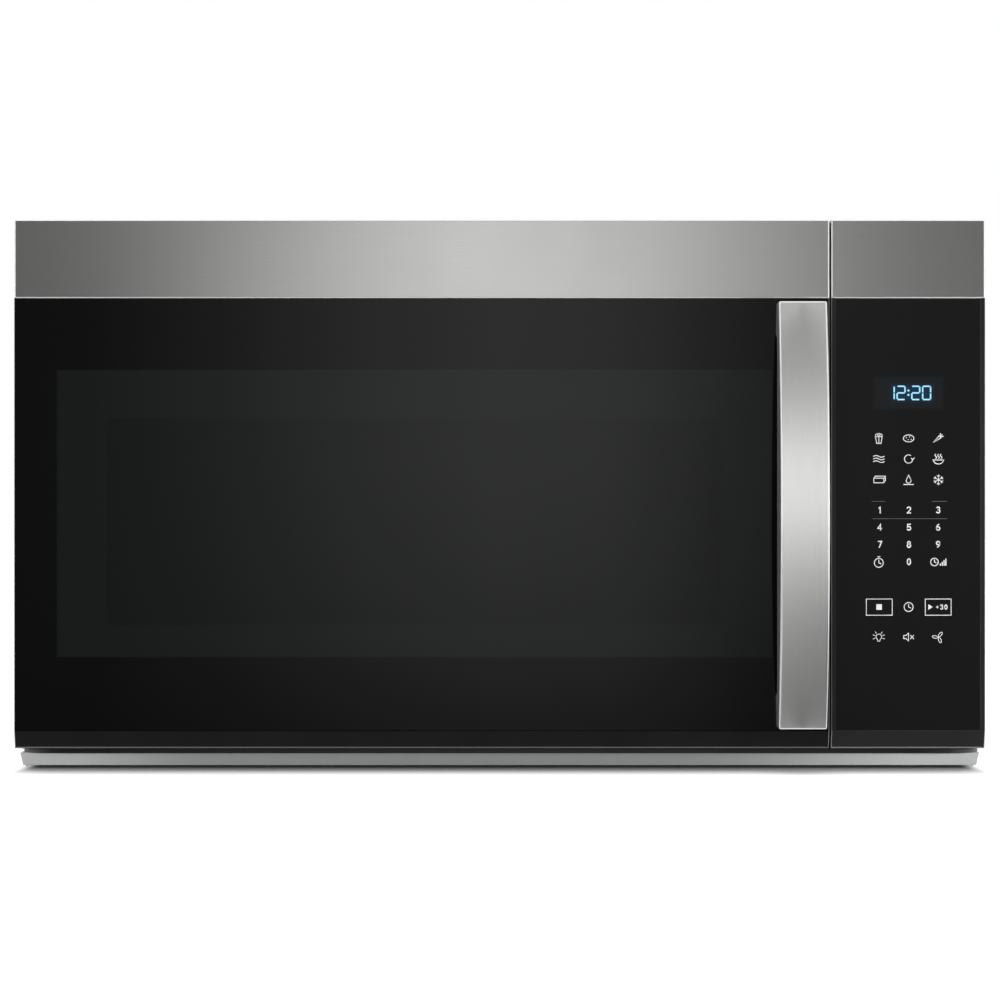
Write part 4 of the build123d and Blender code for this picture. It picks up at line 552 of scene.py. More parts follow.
finishLooks = {
    "painted_shell": (paintFinish, {
        "color": (0.014, 0.014, 0.015), "roughness": (0.41, 0.51), "gloss": 0.4,
        "peelScale": 520.0, "bump": (0.5, 0.00006),
    }),
    "galvanised_sheet": (zincFinish, {"color": (0.60, 0.61, 0.63), "roughness": (0.30, 0.44), "shade": 0.76}),
    "underside_paint": (paintFinish, {"color": (0.46, 0.47, 0.47), "roughness": (0.34, 0.44), "fade": 1.05}),
    "dark_rail": (plasticFinish, {
        "color": (0.004, 0.004, 0.004), "roughness": (0.29, 0.42), "gloss": 0.25,
        # the lighter ends are painted light on the rail's rounded ends
        "ends": (0.075, 0.075, 0.075),
        "endStops": ((-0.373, 1.0), (-0.364, 0.45), (-0.356, 0.15), (-0.345, 0.0),
                     (0.33, 0.03), (0.352, 0.2), (0.364, 0.5), (0.373, 1.0)),
    }),
    "frame_enamel": (paintFinish, {"color": (0.55, 0.56, 0.56), "roughness": (0.29, 0.39), "fade": 1.04}),
    "black_plastic": (plasticFinish, {
        "color": (0.0095, 0.0098, 0.0098), "roughness": (0.29, 0.42), "gloss": 0.35,
    }),
    "carbon_block": (foamFinish, {
        "color": (0.035, 0.035, 0.036), "shade": (0.004, 0.004, 0.004), "roughness": (0.95, 0.7),
        "gloss": 0.1, "cellScale": 420.0, "wallSpan": (0.02, 0.2), "bump": (1.0, 0.0012),
    }),
    "oven_enamel": (paintFinish, {
        "color": (0.50, 0.51, 0.50), "roughness": (0.23, 0.33), "fade": 1.03,
        "speckle": (0.36, 0.36, 0.36), "speckleScale": 420.0, "speckleSpan": (0.16, 0.24),
    }),
    "mica": (micaFinish, {
        "color": (0.55, 0.47, 0.36), "shade": (0.42, 0.35, 0.26), "roughness": (0.35, 0.6), "gloss": 0.45,
        "flakeScale": 260.0, "bump": (0.2, 0.0001),
    }),
    "magnetron_metal": (brushedFinish, {
        "color": (0.72, 0.72, 0.73), "roughness": (0.32, 0.40),
        "stretch": (900.0, 30.0, 30.0), "contrast": 0.1,
    }),
    "core_steel": (laminatedFinish, {
        "color": (0.13, 0.12, 0.11), "varnish": (0.16, 0.09, 0.05), "shade": 0.7, "metal": 0.6,
        "roughness": (0.4, 0.6), "layers": {"Scale": 320.0, "Distortion": 0.3, "Detail": 1.0},
        "marksScale": 14.0, "bump": (0.4, 0.0002),
    }),
    "can_aluminium": (brushedFinish, {
        "color": (0.74, 0.75, 0.76), "roughness": (0.24, 0.32),
        "stretch": (60.0, 60.0, 1200.0), "contrast": 0.05,
    }),
    "board_green": (boardFinish, {
        "color": (0.015, 0.09, 0.04), "track": (0.05, 0.2, 0.1), "roughness": (0.45, 0.3), "gloss": 0.5,
        "trackScale": 120.0, "trackRandomness": 0.4, "trackSpan": (0.42, 0.5), "bump": (0.3, 0.0001),
    }),
    "white_plastic": (plasticFinish, {
        "color": (0.72, 0.72, 0.69), "roughness": (0.37, 0.50), "bump": (0.2, 0.00005),
    }),
    "clear_glass": (clearFinish, {"color": (0.90, 0.96, 0.95), "roughness": (0.03, 0.06), "waveScale": 40.0}),
    "lamp_glass": (clearFinish, {"color": (0.98, 0.95, 0.86), "roughness": (0.02, 0.05)}),
    "lens_glass": (clearFinish, {
        "color": (0.93, 0.96, 0.96), "roughness": (0.12, 0.15), "waveScale": 300.0, "bump": (0.5, 0.0003),
    }),
    "filter_aluminium": (meshFinish, {
        "color": (0.72, 0.73, 0.74), "shade": (0.10, 0.10, 0.11), "roughness": (0.55, 0.32),
        "wires": {"Scale": 60.0, "Distortion": 0.6, "Detail": 1.0}, "angle": 32, "bump": (0.9, 0.0012),
    }),
    # the edge colours of brushed_steel and handle_steel are painted highlights on the rounded edges
    "brushed_steel": (brushedFinish, {
        "color": (0.455, 0.455, 0.447), "roughness": (0.265, 0.295), "stretch": (20.0, 2000.0, 2000.0),
        "anisotropy": 0.75, "turn": 0.25, "contrast": 0.02, "bump": (0.012, 0.00003),
        "edge": (0.72, 0.72, 0.71), "edgeMetal": 0.15, "edgeFrom": 0.95,
    }),
    "handle_steel": (brushedFinish, {
        "color": (0.80, 0.80, 0.79), "roughness": (0.30, 0.34), "stretch": (1500.0, 1500.0, 12.0),
        "anisotropy": 0.6, "contrast": 0.035, "bump": (0.03, 0.00003),
        "edge": (0.90, 0.90, 0.89), "edgeMetal": 0.6, "edgeFrom": 0.88,
    }),
    "door_enamel": (paintFinish, {"color": (0.030, 0.031, 0.032), "roughness": (0.32, 0.42)}),
    "screen_black": (screenFinish, {
        "color": (0.028, 0.028, 0.029), "holeColor": (0.002, 0.002, 0.002), "roughness": (0.45, 0.8),
        "gloss": 0.4, "pitch": 0.0021, "share": 0.36, "bump": (0.6, 0.0003),
    }),
    "inner_pane": (clearFinish, {
        "color": (0.80, 0.84, 0.84), "roughness": (0.01, 0.04), "waveScale": 20.0, "bump": (0.02, 0.0003),
    }),
    "choke_plastic": (plasticFinish, {
        "color": (0.018, 0.018, 0.019), "roughness": (0.45, 0.58), "bump": (0.6, 0.00005),
    }),
    "zinc_steel": (zincFinish, {"color": (0.60, 0.60, 0.59), "roughness": (0.3, 0.44), "spangle": 400.0}),
    "display_black": (plasticFinish, {
        "color": (0.008, 0.010, 0.012), "roughness": (0.15, 0.28), "bump": (0.1, 0.00005),
    }),
}

# Finishes of the two front bodies, with a painted highlight on their rounded edges
nodeLooks = {
    "door_frame": (plasticFinish, {
        "color": (0.0024, 0.0027, 0.0026), "edge": (0.15, 0.15, 0.15),
        "roughness": (0.29, 0.42), "gloss": 0.11,
    }),
    "control_panel_frame": (plasticFinish, {
        "color": (0.0100, 0.0102, 0.0102), "edge": (0.22, 0.22, 0.22),
        "roughness": (0.29, 0.42), "gloss": 0.13,
    }),
}

finishes = {slot: build(slot, look) for slot, (build, look) in finishLooks.items()}
finishes["black_glass"] = doorGlassFinish(doorGlassLook)
finishes["touch_glass"] = touchGlassFinish(touchGlassLook)
nodeFinishes = {name: build(name, look) for name, (build, look) in nodeLooks.items()}
for row in frame["record"]["subparts"]:
    nodeMesh = nodes[row["node"]].data
    nodeMesh.materials.clear()
    nodeMesh.materials.append(nodeFinishes.get(row["node"], finishes[row["material_slot"]]))
print("finishes given to the frame:", len(finishes))


# Flat shapes printed on the front: outlines in x and z become thin slabs

def addSlab(shape, outline, rear, thickness):
    # shape is (corners, faces); the outline runs anticlockwise seen from the front
    corners, faces = shape
    start = len(corners)
    count = len(outline)
    for depth in (rear - thickness, rear):
        corners.extend((x, depth, z) for x, z in outline)
    faces.append([start + index for index in range(count)])
    faces.append([start + count + index for index in reversed(range(count))])
    for index in range(count):
        following = (index + 1) % count
        faces.append([start + following, start + index, start + count + index, start + count + following])


strokeLook = {"samePlace": 1e-6, "mitreLimit": 0.5, "endCap": 0.3}  # metres, and shares of the width


def addStroke(shape, points, width, rear, thickness):
    # one ribbon with mitred corners; a line that comes back to its start is closed
    corners, faces = shape
    line = [Vector(points[0])]
    for point in points[1:]:
        if (Vector(point) - line[-1]).length > strokeLook["samePlace"]:
            line.append(Vector(point))
    closed = len(line) > 2 and (line[0] - line[-1]).length < strokeLook["samePlace"]
    if closed:
        line.pop()
    count, start = len(line), len(corners)
    for index, point in enumerate(line):
        runs = []
        if closed or index > 0:
            runs.append((point - line[index - 1]).normalized())
        if closed or index < count - 1:
            runs.append((line[(index + 1) % count] - point).normalized())
        along = sum(runs, Vector((0, 0))).normalized()
        across = Vector((-along.y, along.x))
        half = width / 2 / max(strokeLook["mitreLimit"], across.dot(Vector((-runs[0].y, runs[0].x))))
        if len(runs) == 1:
            point = point + along * width * (strokeLook["endCap"] if index else -strokeLook["endCap"])
        for depth in (rear - thickness, rear):
            for side in (-half, half):
                corners.append((point.x + side * across.x, depth, point.y + side * across.y))
    for index in range(count if closed else count - 1):
        here, following = start + 4 * index, start + 4 * ((index + 1) % count)
        faces.append([here, following, following + 1, here + 1])
        faces.append([here + 3, following + 3, following + 2, here + 2])
        faces.append([here, here + 2, following + 2, following])
        faces.append([here + 1, following + 1, following + 3, here + 3])
    if not closed:
        last = start + 4 * (count - 1)
        faces.append([start, start + 1, start + 3, start + 2])
        faces.append([last, last + 2, last + 3, last + 1])


def circlePoints(x, z, radius, start=0.0, end=360.0, steps=20, squash=1.0):
    angles = [math.radians(start + (end - start) * index / steps) for index in range(steps + 1)]
    return [(x + radius * math.cos(angle), z + radius * squash * math.sin(angle)) for angle in angles]


def addDisc(shape, x, z, radius, rear, thickness):
    addSlab(shape, circlePoints(x, z, radius, steps=12)[:-1], rear, thickness)


def makePiece(name, shape, material, body):
    mesh = bpy.data.meshes.new(name)
    mesh.from_pydata(shape[0], [], shape[1])
    mesh.validate()
    mesh.materials.append(material)
    piece = bpy.data.objects.new(name, mesh)
    bpy.context.collection.objects.link(piece)
    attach(piece, body)
    return piece


# Clock digits, seven strokes each

clockLook = {
    "text": "1220", "centre": frontPlace(908.4, 392.9), "digitHeight": 0.0115, "digitWidth": 0.0073,
    "stroke": 0.00112, "segmentGap": 0.62, "pitch": 0.0085, "lift": 0.00008,
    "colonGap": 0.0015, "dotShares": (0.36, 0.66), "dotRadius": 0.00084,
    "light": {"color": (0.18, 0.40, 0.55), "glow": 0.95},
}

segmentEnds = {
    "top": ((0, 1), (1, 1)), "middle": ((0, 0.5), (1, 0.5)), "bottom": ((0, 0), (1, 0)),
    "upperLeft": ((0, 0.5), (0, 1)), "upperRight": ((1, 0.5), (1, 1)),
    "lowerLeft": ((0, 0), (0, 0.5)), "lowerRight": ((1, 0), (1, 0.5)),
}
litSegments = {
    "0": ("top", "bottom", "upperLeft", "upperRight", "lowerLeft", "lowerRight"),
    "1": ("upperRight", "lowerRight"),
    "2": ("top", "middle", "bottom", "upperRight", "lowerLeft"),
}


def addClockDigit(shape, digit, left, low, look):
    width, height = look["digitWidth"] - look["stroke"], look["digitHeight"] - look["stroke"]
    for segment in litSegments[digit]:
        ends = []
        (u0, v0), (u1, v1) = segmentEnds[segment]
        run = Vector((u1 - u0, v1 - v0))
        for u, v, inward in ((u0, v0, 1), (u1, v1, -1)):
            shift = run.normalized() * look["stroke"] * look["segmentGap"] * inward
            ends.append((left + u * width + shift.x, low + v * height + shift.y))
        addStroke(shape, ends, look["stroke"], touchPlane, look["lift"])


def makeClock(look):
    shape = ([], [])
    middle, height = look["centre"]
    low = height - look["digitHeight"] / 2
    left = middle - 1.5 * look["pitch"] - look["colonGap"] - (look["digitWidth"] - look["stroke"]) / 2
    for index, digit in enumerate(look["text"]):
        start = left + index * look["pitch"] + (2 * look["colonGap"] if index > 1 else 0)
        addClockDigit(shape, digit, start, low + look["stroke"] / 2, look)
    for share in look["dotShares"]:
        addDisc(shape, middle, low + share * look["digitHeight"], look["dotRadius"], touchPlane, look["lift"])
    makePiece("clockDigits", shape, inkFinish("clockLight", look["light"]), "cabinet")


makeClock(clockLook)
print("clock made")


# Keys printed on the touch glass

# Columns, rows and edges are pixels of the photograph
keyLook = {
    "columns": (878.8, 908.6, 938.4), "markUnit": 0.0013, "stroke": 0.00062, "lift": 0.00005,
    "numberColumns": (879.8, 908.9, 938.1), "numberRows": (510.0, 527.2, 544.4, 561.7),
    "numberHeight": 0.0055, "numberStroke": 0.00088, "numberPitch": 0.78,
    "boxEdges": ((866.3, 892.2), (925.2, 951.1)), "boxRow": 607.1, "boxHalfHeight": 8.1, "boxStroke": 0.85,
    "stopPlace": (879.1, 607.0), "startPlace": (930.3, 607.0), "signHalf": 1.7, "startDepths": (1.2, 1.5),
    "addTimePlace": (941.6, 607.0), "addTimeHeight": 0.00429,
    "lines": ((872, 885, 501.3), (932, 947, 501.3), (872, 947, 518.7)), "lineWidth": 0.0004,
    # the glow of both inks is painted light; the printed keys have no lamp behind them
    "ink": {"color": (0.66, 0.66, 0.66), "glow": 0.13}, "dimInk": {"color": (0.09, 0.09, 0.09), "glow": 0.13},
}


# Strokes of plain numerals, in a box 1 high with its middle at 0
sixTail = circlePoints(0.27, -0.22, 0.55, 180, 105, 8, squash=1.3)
sixStrokes = [circlePoints(0, -0.22, 0.28, steps=16), sixTail]
digitStrokes = {
    "0": [circlePoints(0, 0, 0.27, squash=1.85)],
    "1": [[(-0.17, 0.3), (0.06, 0.5), (0.06, -0.5)]],
    "2": [circlePoints(0, 0.22, 0.28, 165, -35, 12) + [(-0.27, -0.5), (0.3, -0.5)]],
    "3": [circlePoints(0, 0.25, 0.25, 155, -90, 12), circlePoints(0, -0.22, 0.28, 90, -155, 12)],
    "4": [[(0.13, -0.5), (0.13, 0.5), (-0.32, -0.2), (0.33, -0.2)]],
    "5": [[(0.26, 0.5), (-0.2, 0.5), (-0.24, 0.03)] + circlePoints(0, -0.19, 0.3, 130, -150, 12)],
    "6": sixStrokes,
    "7": [[(-0.28, 0.5), (0.3, 0.5), (-0.08, -0.5)]],
    "8": [circlePoints(0, 0.26, 0.23, steps=16), circlePoints(0, -0.23, 0.28, steps=16)],
    "9": [[(-x, -z) for x, z in stroke] for stroke in sixStrokes],
    "+": [[(-0.24, 0), (0.24, 0)], [(0, -0.24), (0, 0.24)]],
}


def addNumber(shape, text, x, z, height, look):
    inner = height - look["numberStroke"]
    width = look["numberStroke"] * height / look["numberHeight"]
    for place, digit in enumerate(text):
        middle = x + (place - (len(text) - 1) / 2) * height * look["numberPitch"]
        for stroke in digitStrokes[digit]:
            points = [(middle + u * inner, z + v * inner) for u, v in stroke]
            addStroke(shape, points, width, touchPlane, look["lift"])


def addLine(shape, points, look, share=1.0):
    addStroke(shape, points, look["stroke"] * share, touchPlane, look["lift"])


def turnedRun(angle):
    # a run of length 1 at an angle in degrees
    return Vector((math.cos(math.radians(angle)), math.sin(math.radians(angle))))


def addMarkLines(shape, x, z, unit, lines, look, share=1.0):
    # lines of (u, v) points in units about the middle of a mark
    for line in lines:
        addLine(shape, [(x + u * unit, z + v * unit) for u, v in line], look, share)


def addBox(shape, x, z, halfWidth, halfHeight, look, share=1.0):
    corners = [(-1, -1), (1, -1), (1, 1), (-1, 1), (-1, -1)]
    addLine(shape, [(x + u * halfWidth, z + v * halfHeight) for u, v in corners], look, share)


def addPopcorn(shape, x, z, unit, look):
    tub = [(-2, 1), (-1.3, -3), (1.3, -3), (2, 1), (-2, 1)]
    kernels = [circlePoints(side, 2.2 - 0.3 * abs(side), 0.8, steps=10) for side in (-1.2, 0, 1.2)]
    addMarkLines(shape, x, z, unit, [tub, *kernels, [(0, 1), (0, -3)]], look)


def addPotato(shape, x, z, unit, look):
    addLine(shape, circlePoints(x, z, 3.2 * unit, squash=0.66), look)
    for u, v in ((-1.4, 0.4), (0.6, 0.9), (1.5, -0.6), (-0.3, -0.8)):
        addDisc(shape, x + u * unit, z + v * unit, 0.3 * unit, touchPlane, look["lift"])


def addCarrot(shape, x, z, unit, look):
    root = [(-3, -2.4), (0.4, 1.6), (1.6, 0.4), (-3, -2.4)]
    leaves = [[(1, 1), tip] for tip in ((1.2, 3.0), (2.3, 2.3), (3.0, 1.2))]
    addMarkLines(shape, x, z, unit, [root, *leaves], look)


def addWaves(shape, x, z, unit, look, count, upright, length):
    for index in range(count):
        offset = (index - (count - 1) / 2) * 1.6 * unit
        points = []
        for step in range(13):
            along = (step / 12 - 0.5) * length * unit
            sway = math.sin(step / 12 * 2 * math.pi) * 0.5 * unit
            points.append((x + offset + sway, z + along) if upright else (x + along, z + offset + sway))
        addLine(shape, points, look)


def addBacon(shape, x, z, unit, look):
    addWaves(shape, x, z, unit, look, 3, False, 6.5)


def addReheat(shape, x, z, unit, look):
    arrow = [(1.5, 0.5), (2.5, -0.4), (3.4, 0.6)]
    addMarkLines(shape, x, z, unit, [circlePoints(0, 0, 2.5, 60, 360), arrow], look)


def addWarmBowl(shape, x, z, unit, look):
    bowl = circlePoints(0, -0.6, 3, 180, 360, squash=0.8)
    addMarkLines(shape, x, z, unit, [bowl, [(-3.4, -0.6), (3.4, -0.6)]], look)
    addWaves(shape, x, z + 1.6 * unit, unit, look, 3, True, 2.6)


def addSoftBlock(shape, x, z, unit, look):
    addBox(shape, x, z - 0.4 * unit, 3 * unit, 1.4 * unit, look)
    farEdges = [(-3, 1), (-2, 2.2), (3.9, 2.2), (3.9, -0.4), (3, -1.8)]
    addMarkLines(shape, x, z, unit, [farEdges, [(3, 1), (3.9, 2.2)]], look)


def addDrop(shape, x, z, unit, look):
    drop = [[(-1.25, 0.25), (0, 2.8), (1.25, 0.25)], circlePoints(0, -0.5, 1.45, 150, 390)]
    addMarkLines(shape, x, z, unit, [*drop, [(-3, -2.8), (3, -2.8)]], look)


def addSnowflake(shape, x, z, unit, look):
    for angle in range(30, 390, 60):
        run = turnedRun(angle)
        side = Vector((-run.y, run.x))
        barbs = [[run * 1.8, run * 2.6 + side * turn * 0.8] for turn in (-1, 1)]
        addMarkLines(shape, x, z, unit, [[(0, 0), run * 3], *barbs], look, 0.8)


def addClockFace(shape, x, z, unit, look):
    addMarkLines(shape, x, z, unit, [circlePoints(0, 0, 2.7), [(0, 1.7), (0, 0), (1.3, -0.6)]], look)


def addStopwatch(shape, x, z, unit, look):
    addClockFace(shape, x, z - 0.5 * unit, unit, look)
    addMarkLines(shape, x, z, unit, [[(-0.7, 3.2), (0.7, 3.2)], [(0, 2.3), (0, 3.1)]], look)


def addPower(shape, x, z, unit, look):
    addClockFace(shape, x - 2.4 * unit, z, unit * 0.85, look)
    bars = [[(1.2 + index * 1.1, -2), (1.2 + index * 1.1, -1.1 + index)] for index in range(4)]
    addMarkLines(shape, x, z, unit, bars, look, 1.3)


def addSpeaker(shape, x, z, unit, look):
    horn = [(-3, -0.9), (-1.7, -0.9), (-0.1, -2.3), (-0.1, 2.3), (-1.7, 0.9), (-3, 0.9), (-3, -0.9)]
    cross = [[(1.1, -turn * 1.1), (3.1, turn * 1.1)] for turn in (-1, 1)]
    addMarkLines(shape, x, z, unit, [horn, *cross], look)


def addBulb(shape, x, z, unit, look):
    base = [(-0.8, -1.4), (-0.6, -2.5), (0.6, -2.5), (0.8, -1.4)]
    addMarkLines(shape, x, z, unit, [circlePoints(0, 0, 1.6, -60, 240), base], look, 0.8)
    for angle in (-20, 18, 55, 125, 162, 200):
        run = turnedRun(angle)
        addMarkLines(shape, x, z, unit, [[run * 2.3, run * 3.5]], look, 0.7)


def addFanMark(shape, x, z, unit, look):
    for angle in (50, 170, 290):
        run = turnedRun(angle)
        side = Vector((-run.y, run.x))
        turns = [step / 12 * 2 * math.pi for step in range(13)]
        blade = [run * (1.9 - 1.6 * math.cos(turn)) + side * (0.75 * math.sin(turn) + 0.2) for turn in turns]
        addMarkLines(shape, x, z, unit, [blade], look, 0.75)
    addDisc(shape, x, z, 0.4 * unit, touchPlane, look["lift"])


# Each mark with its column, its row in the photograph and its size against the others
keyMarks = (
    (addPopcorn, 0, 438.4, 1.0), (addPotato, 1, 438.4, 1.0), (addCarrot, 2, 438.4, 1.0),
    (addBacon, 0, 459.0, 1.0), (addReheat, 1, 459.0, 1.0), (addWarmBowl, 2, 459.0, 1.0),
    (addSoftBlock, 0, 479.8, 1.0), (addDrop, 1, 479.8, 1.0), (addSnowflake, 2, 479.8, 1.0),
    (addStopwatch, 0, 562.0, 1.0), (addPower, 2, 562.0, 1.0), (addClockFace, 1, 607.0, 1.0),
    (addBulb, 0, 636.8, 1.05), (addSpeaker, 1, 637.0, 1.0), (addFanMark, 2, 637.2, 1.05),
)


def addFrameKeys(shape, look):
    # stop and start keys, framed, with a square and a triangle in them
    for left, right in look["boxEdges"]:
        x, z = frontPlace((left + right) / 2, look["boxRow"])
        halfWidth, halfHeight = (right - left) / 2 * photoScale, look["boxHalfHeight"] * photoScale
        addBox(shape, x, z, halfWidth, halfHeight, look, look["boxStroke"])
    half = look["signHalf"] * look["markUnit"]
    x, z = frontPlace(*look["stopPlace"])
    square = [(x - half, z - half), (x + half, z - half), (x + half, z + half), (x - half, z + half)]
    x, z = frontPlace(*look["startPlace"])
    back, tip = (share * look["markUnit"] for share in look["startDepths"])
    triangle = [(x - back, z - half), (x + tip, z), (x - back, z + half)]
    for outline in (square, triangle):
        addSlab(shape, outline, touchPlane, look["lift"])
    addNumber(shape, "+30", *frontPlace(*look["addTimePlace"]), look["addTimeHeight"], look)


def makeKeys(look):
    bright, dim = ([], []), ([], [])
    for digits, row in zip(("123", "456", "789", " 0 "), look["numberRows"]):
        for digit, column in zip(digits, look["numberColumns"]):
            if digit != " ":
                addNumber(bright, digit, *frontPlace(column, row), look["numberHeight"], look)
    for addMark, column, row, share in keyMarks:
        addMark(bright, *frontPlace(look["columns"][column], row), look["markUnit"] * share, look)
    addFrameKeys(bright, look)
    for left, right, row in look["lines"]:
        ends = [frontPlace(left, row), frontPlace(right, row)]
        addStroke(dim, ends, look["lineWidth"], touchPlane, look["lift"])
    makePiece("printedKeys", bright, inkFinish("whiteInk", look["ink"]), "cabinet")
    makePiece("printedLines", dim, inkFinish("greyInk", look["dimInk"]), "cabinet")


makeKeys(keyLook)
print("keys printed")


# Coil spring over the latch head

springLook = {"turns": 8, "steps": 20, "wireRadius": 0.0003, "wireSides": 8, "seat": 0.0002, "travel": 0.004}


def makeLatchSpring(look):
    low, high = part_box("latch_spring")
    middleX, middleY = (low.x + high.x) / 2, (low.y + high.y) / 2
    radius = (high.x - low.x) / 2 - look["wireRadius"]
    bottom, top = low.z + look["seat"], high.z - look["wireRadius"]
    count = look["turns"] * look["steps"]
    corners, faces = [], []
    for step in range(count + 1):
        angle = step / look["steps"] * 2 * math.pi
        outward = Vector((math.cos(angle), math.sin(angle), 0))
        centre = Vector((middleX, middleY, bottom + (top - bottom) * step / count)) + outward * radius
        for side in range(look["wireSides"]):
            around = side / look["wireSides"] * 2 * math.pi
            offset = outward * math.cos(around) + Vector((0, 0, math.sin(around)))
            corners.append(tuple(centre + offset * look["wireRadius"]))
    sides = look["wireSides"]
    for step in range(count):
        for side in range(sides):
            following = (side + 1) % sides
            start = step * sides
            faces.append([start + side, start + following, start + sides + following, start + sides + side])
    faces.append(list(range(sides)))
    faces.append([count * sides + side for side in reversed(range(sides))])
    coil = makePiece("latchSpringCoil", (corners, faces), finishes["zinc_steel"], "door")
    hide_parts("latch_spring")
    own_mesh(coil)


makeLatchSpring(springLook)
print("latch spring wound")


# Studio: pale floor, white surround, lamps, and a graded card with a dark flag that the front mirrors

studioLook = {
    "cameraDistance": 2.45, "lens": 112.72, "sensor": 36.0, "surround": 0.62,
    "floorHalf": 14.0, "floorGap": 0.0002, "floorColor": 0.34, "floorWhite": 0.84, "floorMirrored": 0.7,
    "paperScale": 90.0, "paperContrast": 0.01,
    "contact": 0.042, "contactPower": 1.9, "contactSpan": (0.368, 0.386),
    "cardDistance": 3.2, "cardHalfWidth": 3.4, "cardTop": 3.0, "flagLift": 0.002, "flagSetback": 0.05,
}

lampLooks = {
    "topLamp": {"place": (0.0, -0.6, 2.5), "aim": (0.0, -0.2, 0.0), "size": (4.0, 4.0), "energy": 62.0},
    "frontLamp": {"place": (-0.4, -3.4, 1.6), "aim": (0.0, -0.2, 0.0), "size": (2.5, 2.0), "energy": 26.0},
    "leftLamp": {
        "place": (-0.95, -0.85, -0.08), "aim": (-0.34, -0.36, -0.2), "size": (0.4, 0.16), "energy": 4.0,
    },
    "rightLamp": {
        "place": (0.95, -0.85, -0.08), "aim": (0.34, -0.36, -0.2), "size": (0.4, 0.16), "energy": 5.5,
    },
}

# Narrow lamps that reach only the ends of the underside's sloping front
stripLampLooks = {
    "leftStripLamp": {"across": -0.352, "ahead": 0.26, "height": -0.17, "spread": 40, "energy": 0.026},
    "rightStripLamp": {"across": 0.335, "ahead": 0.26, "height": -0.17, "spread": 62, "energy": 0.078},
}
stripLampSize = (0.06, 0.04)

# Brightness of the card against the place, in metres, where a flat front mirrors it
acrossStops = (
    (-0.95, 2.2), (-0.72, 2.2), (-0.60, 0.06), (-0.42, 0.06), (-0.32, 0.17), (-0.22, 0.72), (-0.10, 1.74),
    (0.0, 2.34), (0.084, 2.16), (0.168, 1.22), (0.252, 0.55), (0.336, 0.30), (0.42, 0.20), (0.60, 0.20),
    (0.72, 2.2), (0.95, 2.2),
)
upStops = (
    (-0.22, 0.22), (-0.17, 0.38), (-0.125, 0.57), (-0.054, 0.80), (0.03, 0.98), (0.187, 1.02), (0.30, 0.74),
    (0.42, 0.45), (0.56, 0.26), (0.81, 0.12), (1.05, 0.25), (1.2, 1.2),
)


def makeCamera(look):
    camera = bpy.data.objects.new("photoCamera", bpy.data.cameras.new("photoCamera"))
    camera.data.lens = look["lens"]
    camera.data.sensor_width = look["sensor"]
    across = (photoHorizon - photoCentreX) * photoScale
    camera.location = (across, frontPlane - look["cameraDistance"], horizonHeight)
    camera.rotation_euler = (math.radians(90), 0, 0)
    bpy.context.collection.objects.link(camera)
    bpy.context.scene.camera = camera


def makeWorld(look):
    world = bpy.data.worlds.new("studioWhite")
    bpy.context.scene.world = world
    world.use_nodes = True
    tree = world.node_tree
    background = tree.nodes["Background"]
    background.inputs["Color"].default_value = (1, 1, 1, 1)
    path = addNode(tree, "ShaderNodeLightPath")
    shown = calculate(tree, "MAXIMUM", path.outputs["Is Camera Ray"], path.outputs["Is Glossy Ray"])
    shown = calculate(tree, "MAXIMUM", shown, path.outputs["Is Transmission Ray"])
    tree.links.new(remap(tree, shown, 0, 1, look["surround"], 1.0), background.inputs["Strength"])


def makeSheet(name, corners, material):
    mesh = bpy.data.meshes.new(name)
    mesh.from_pydata(corners, [], [list(range(len(corners)))])
    mesh.materials.append(material)
    sheet = bpy.data.objects.new(name, mesh)
    bpy.context.collection.objects.link(sheet)
    return sheet


def floorFinish(look):
    # white to the camera, with a soft shadow where the floor is close under the object
    material, tree, surface = startMaterial("paleFloor", {"Roughness": 0.9, "Specular IOR Level": 0.0})
    paper = useGroup(tree, orangePeel, Scale=look["paperScale"])
    dark, light = (look["floorColor"] * (1 + side * look["paperContrast"]) for side in (-1, 1))
    setColor(tree, surface, blendColors(tree, paper, (dark,) * 3, (light,) * 3))
    contact = addNode(tree, "ShaderNodeAmbientOcclusion", {"Distance": look["contact"]}, samples=16)
    path = addNode(tree, "ShaderNodeLightPath")
    shown = calculate(tree, "MULTIPLY", path.outputs["Is Camera Ray"], look["floorWhite"])
    outward = calculate(tree, "ABSOLUTE", splitVector(tree, objectPlace(tree))[0])
    beside = remap(tree, outward, *look["contactSpan"], 0, 1, smooth=True)
    deepened = calculate(tree, "POWER", contact.outputs["AO"], look["contactPower"])
    seen = calculate(tree, "MULTIPLY", shown, calculate(tree, "MAXIMUM", deepened, beside))
    mirrored = calculate(tree, "MAXIMUM", path.outputs["Is Glossy Ray"], path.outputs["Is Transmission Ray"])
    lit = calculate(tree, "ADD", seen, calculate(tree, "MULTIPLY", mirrored, look["floorMirrored"]))
    surface.inputs["Emission Color"].default_value = (1, 1, 1, 1)
    tree.links.new(lit, surface.inputs["Emission Strength"])
    return material


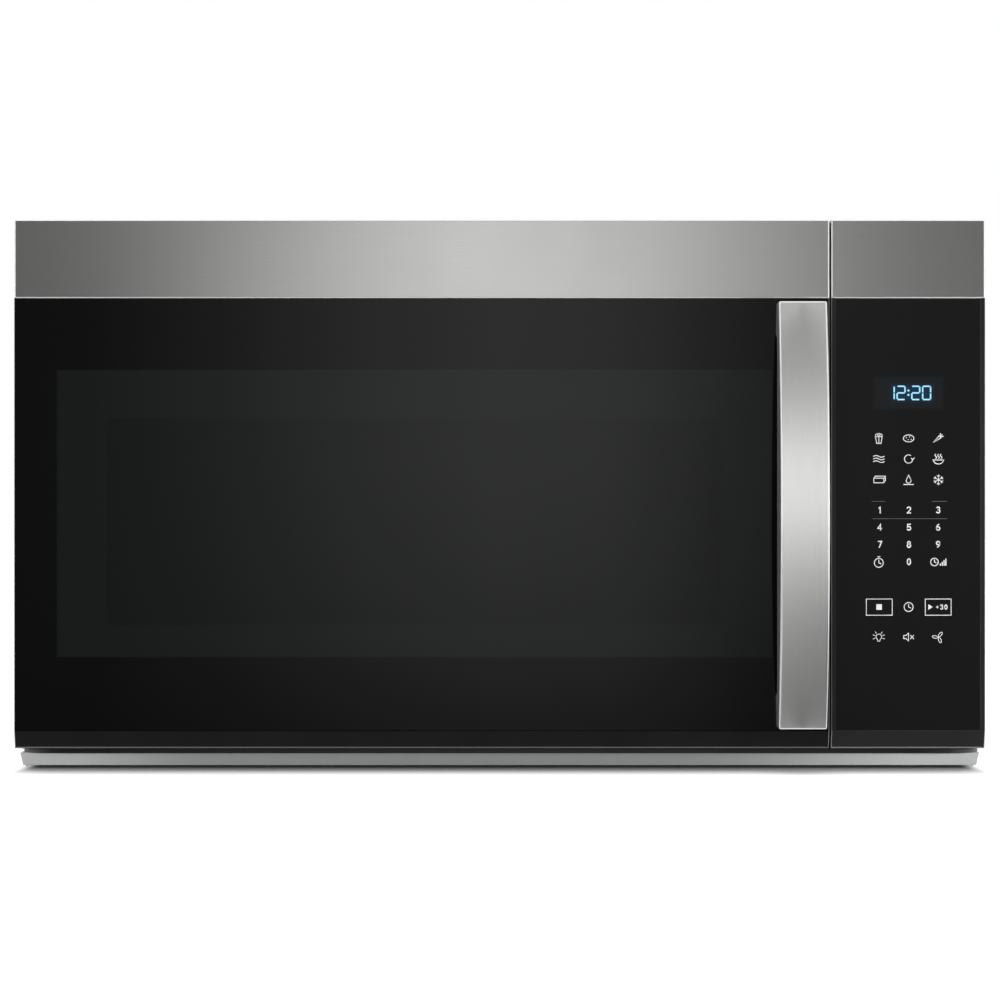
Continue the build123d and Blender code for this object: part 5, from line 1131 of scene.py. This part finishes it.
def cardFinish(look):
    # brightness follows the place on the front that mirrors a point of the card to the camera
    material = bpy.data.materials.new("gradedCard")
    material.use_nodes = True
    tree = material.node_tree
    tree.nodes.clear()
    place = splitVector(tree, objectPlace(tree))
    ahead = calculate(tree, "SUBTRACT", frontPlane, place[1])
    spread = calculate(tree, "ADD", calculate(tree, "DIVIDE", ahead, look["cameraDistance"]), 1.0)
    across = calculate(tree, "DIVIDE", place[0], spread)
    up = calculate(tree, "DIVIDE", calculate(tree, "SUBTRACT", place[2], horizonHeight), spread)
    acrossLight = gradedValue(tree, across, acrossStops)
    upLight = gradedValue(tree, up, upStops)
    glow = addNode(tree, "ShaderNodeEmission")
    tree.links.new(calculate(tree, "MULTIPLY", acrossLight, upLight), glow.inputs["Strength"])
    output = addNode(tree, "ShaderNodeOutputMaterial")
    tree.links.new(glow.outputs[0], output.inputs["Surface"])
    return material


def makeReflectors(look):
    finish = cardFinish(look)
    half, top = look["cardHalfWidth"], look["cardTop"]
    low = floorLevel + look["flagLift"]
    far, near = frontPlane - look["cardDistance"], frontPlane - look["flagSetback"]
    cardCorners = [(-half, far, low), (half, far, low), (half, far, top), (-half, far, top)]
    flagCorners = [(-half, far, low), (-half, near, low), (half, near, low), (half, far, low)]
    for sheet in (makeSheet("gradedCard", cardCorners, finish), makeSheet("floorFlag", flagCorners, finish)):
        sheet.visible_camera = False
        sheet.visible_diffuse = False
        sheet.visible_shadow = False
        sheet.visible_transmission = False


def makeLamp(name, look):
    lamp = bpy.data.lights.new(name, "AREA")
    lamp.shape = "RECTANGLE"
    lamp.size, lamp.size_y = look["size"]
    lamp.energy = look["energy"]
    holder = bpy.data.objects.new(name, lamp)
    holder.location = look["place"]
    beam = Vector(look["aim"]) - Vector(look["place"])
    holder.rotation_euler = beam.to_track_quat("-Z", "Y").to_euler()
    holder.visible_camera = False
    holder.visible_glossy = False
    bpy.context.collection.objects.link(holder)
    return holder


def makeStripLamp(name, look):
    place = (look["across"], frontPlane - look["ahead"], look["height"])
    aim = (look["across"], frontPlane, floorLevel)
    holder = makeLamp(name, {"place": place, "aim": aim, "size": stripLampSize, "energy": look["energy"]})
    holder.data.spread = math.radians(look["spread"])
    reached = bpy.data.collections.new(name + "Reach")
    reached.objects.link(nodes["base_plate"])
    holder.light_linking.receiver_collection = reached


def makeStudio(look):
    makeCamera(look)
    makeWorld(look)
    half = look["floorHalf"]
    low = floorLevel - look["floorGap"]
    floorCorners = [(-half, -half, low), (half, -half, low), (half, half, low), (-half, half, low)]
    makeSheet("paleFloor", floorCorners, floorFinish(look))
    makeReflectors(look)
    for name, lampLook in lampLooks.items():
        makeLamp(name, lampLook)
    for name, lampLook in stripLampLooks.items():
        makeStripLamp(name, lampLook)


makeStudio(studioLook)
bpy.context.scene.view_settings.view_transform = "Standard"
print("studio ready")
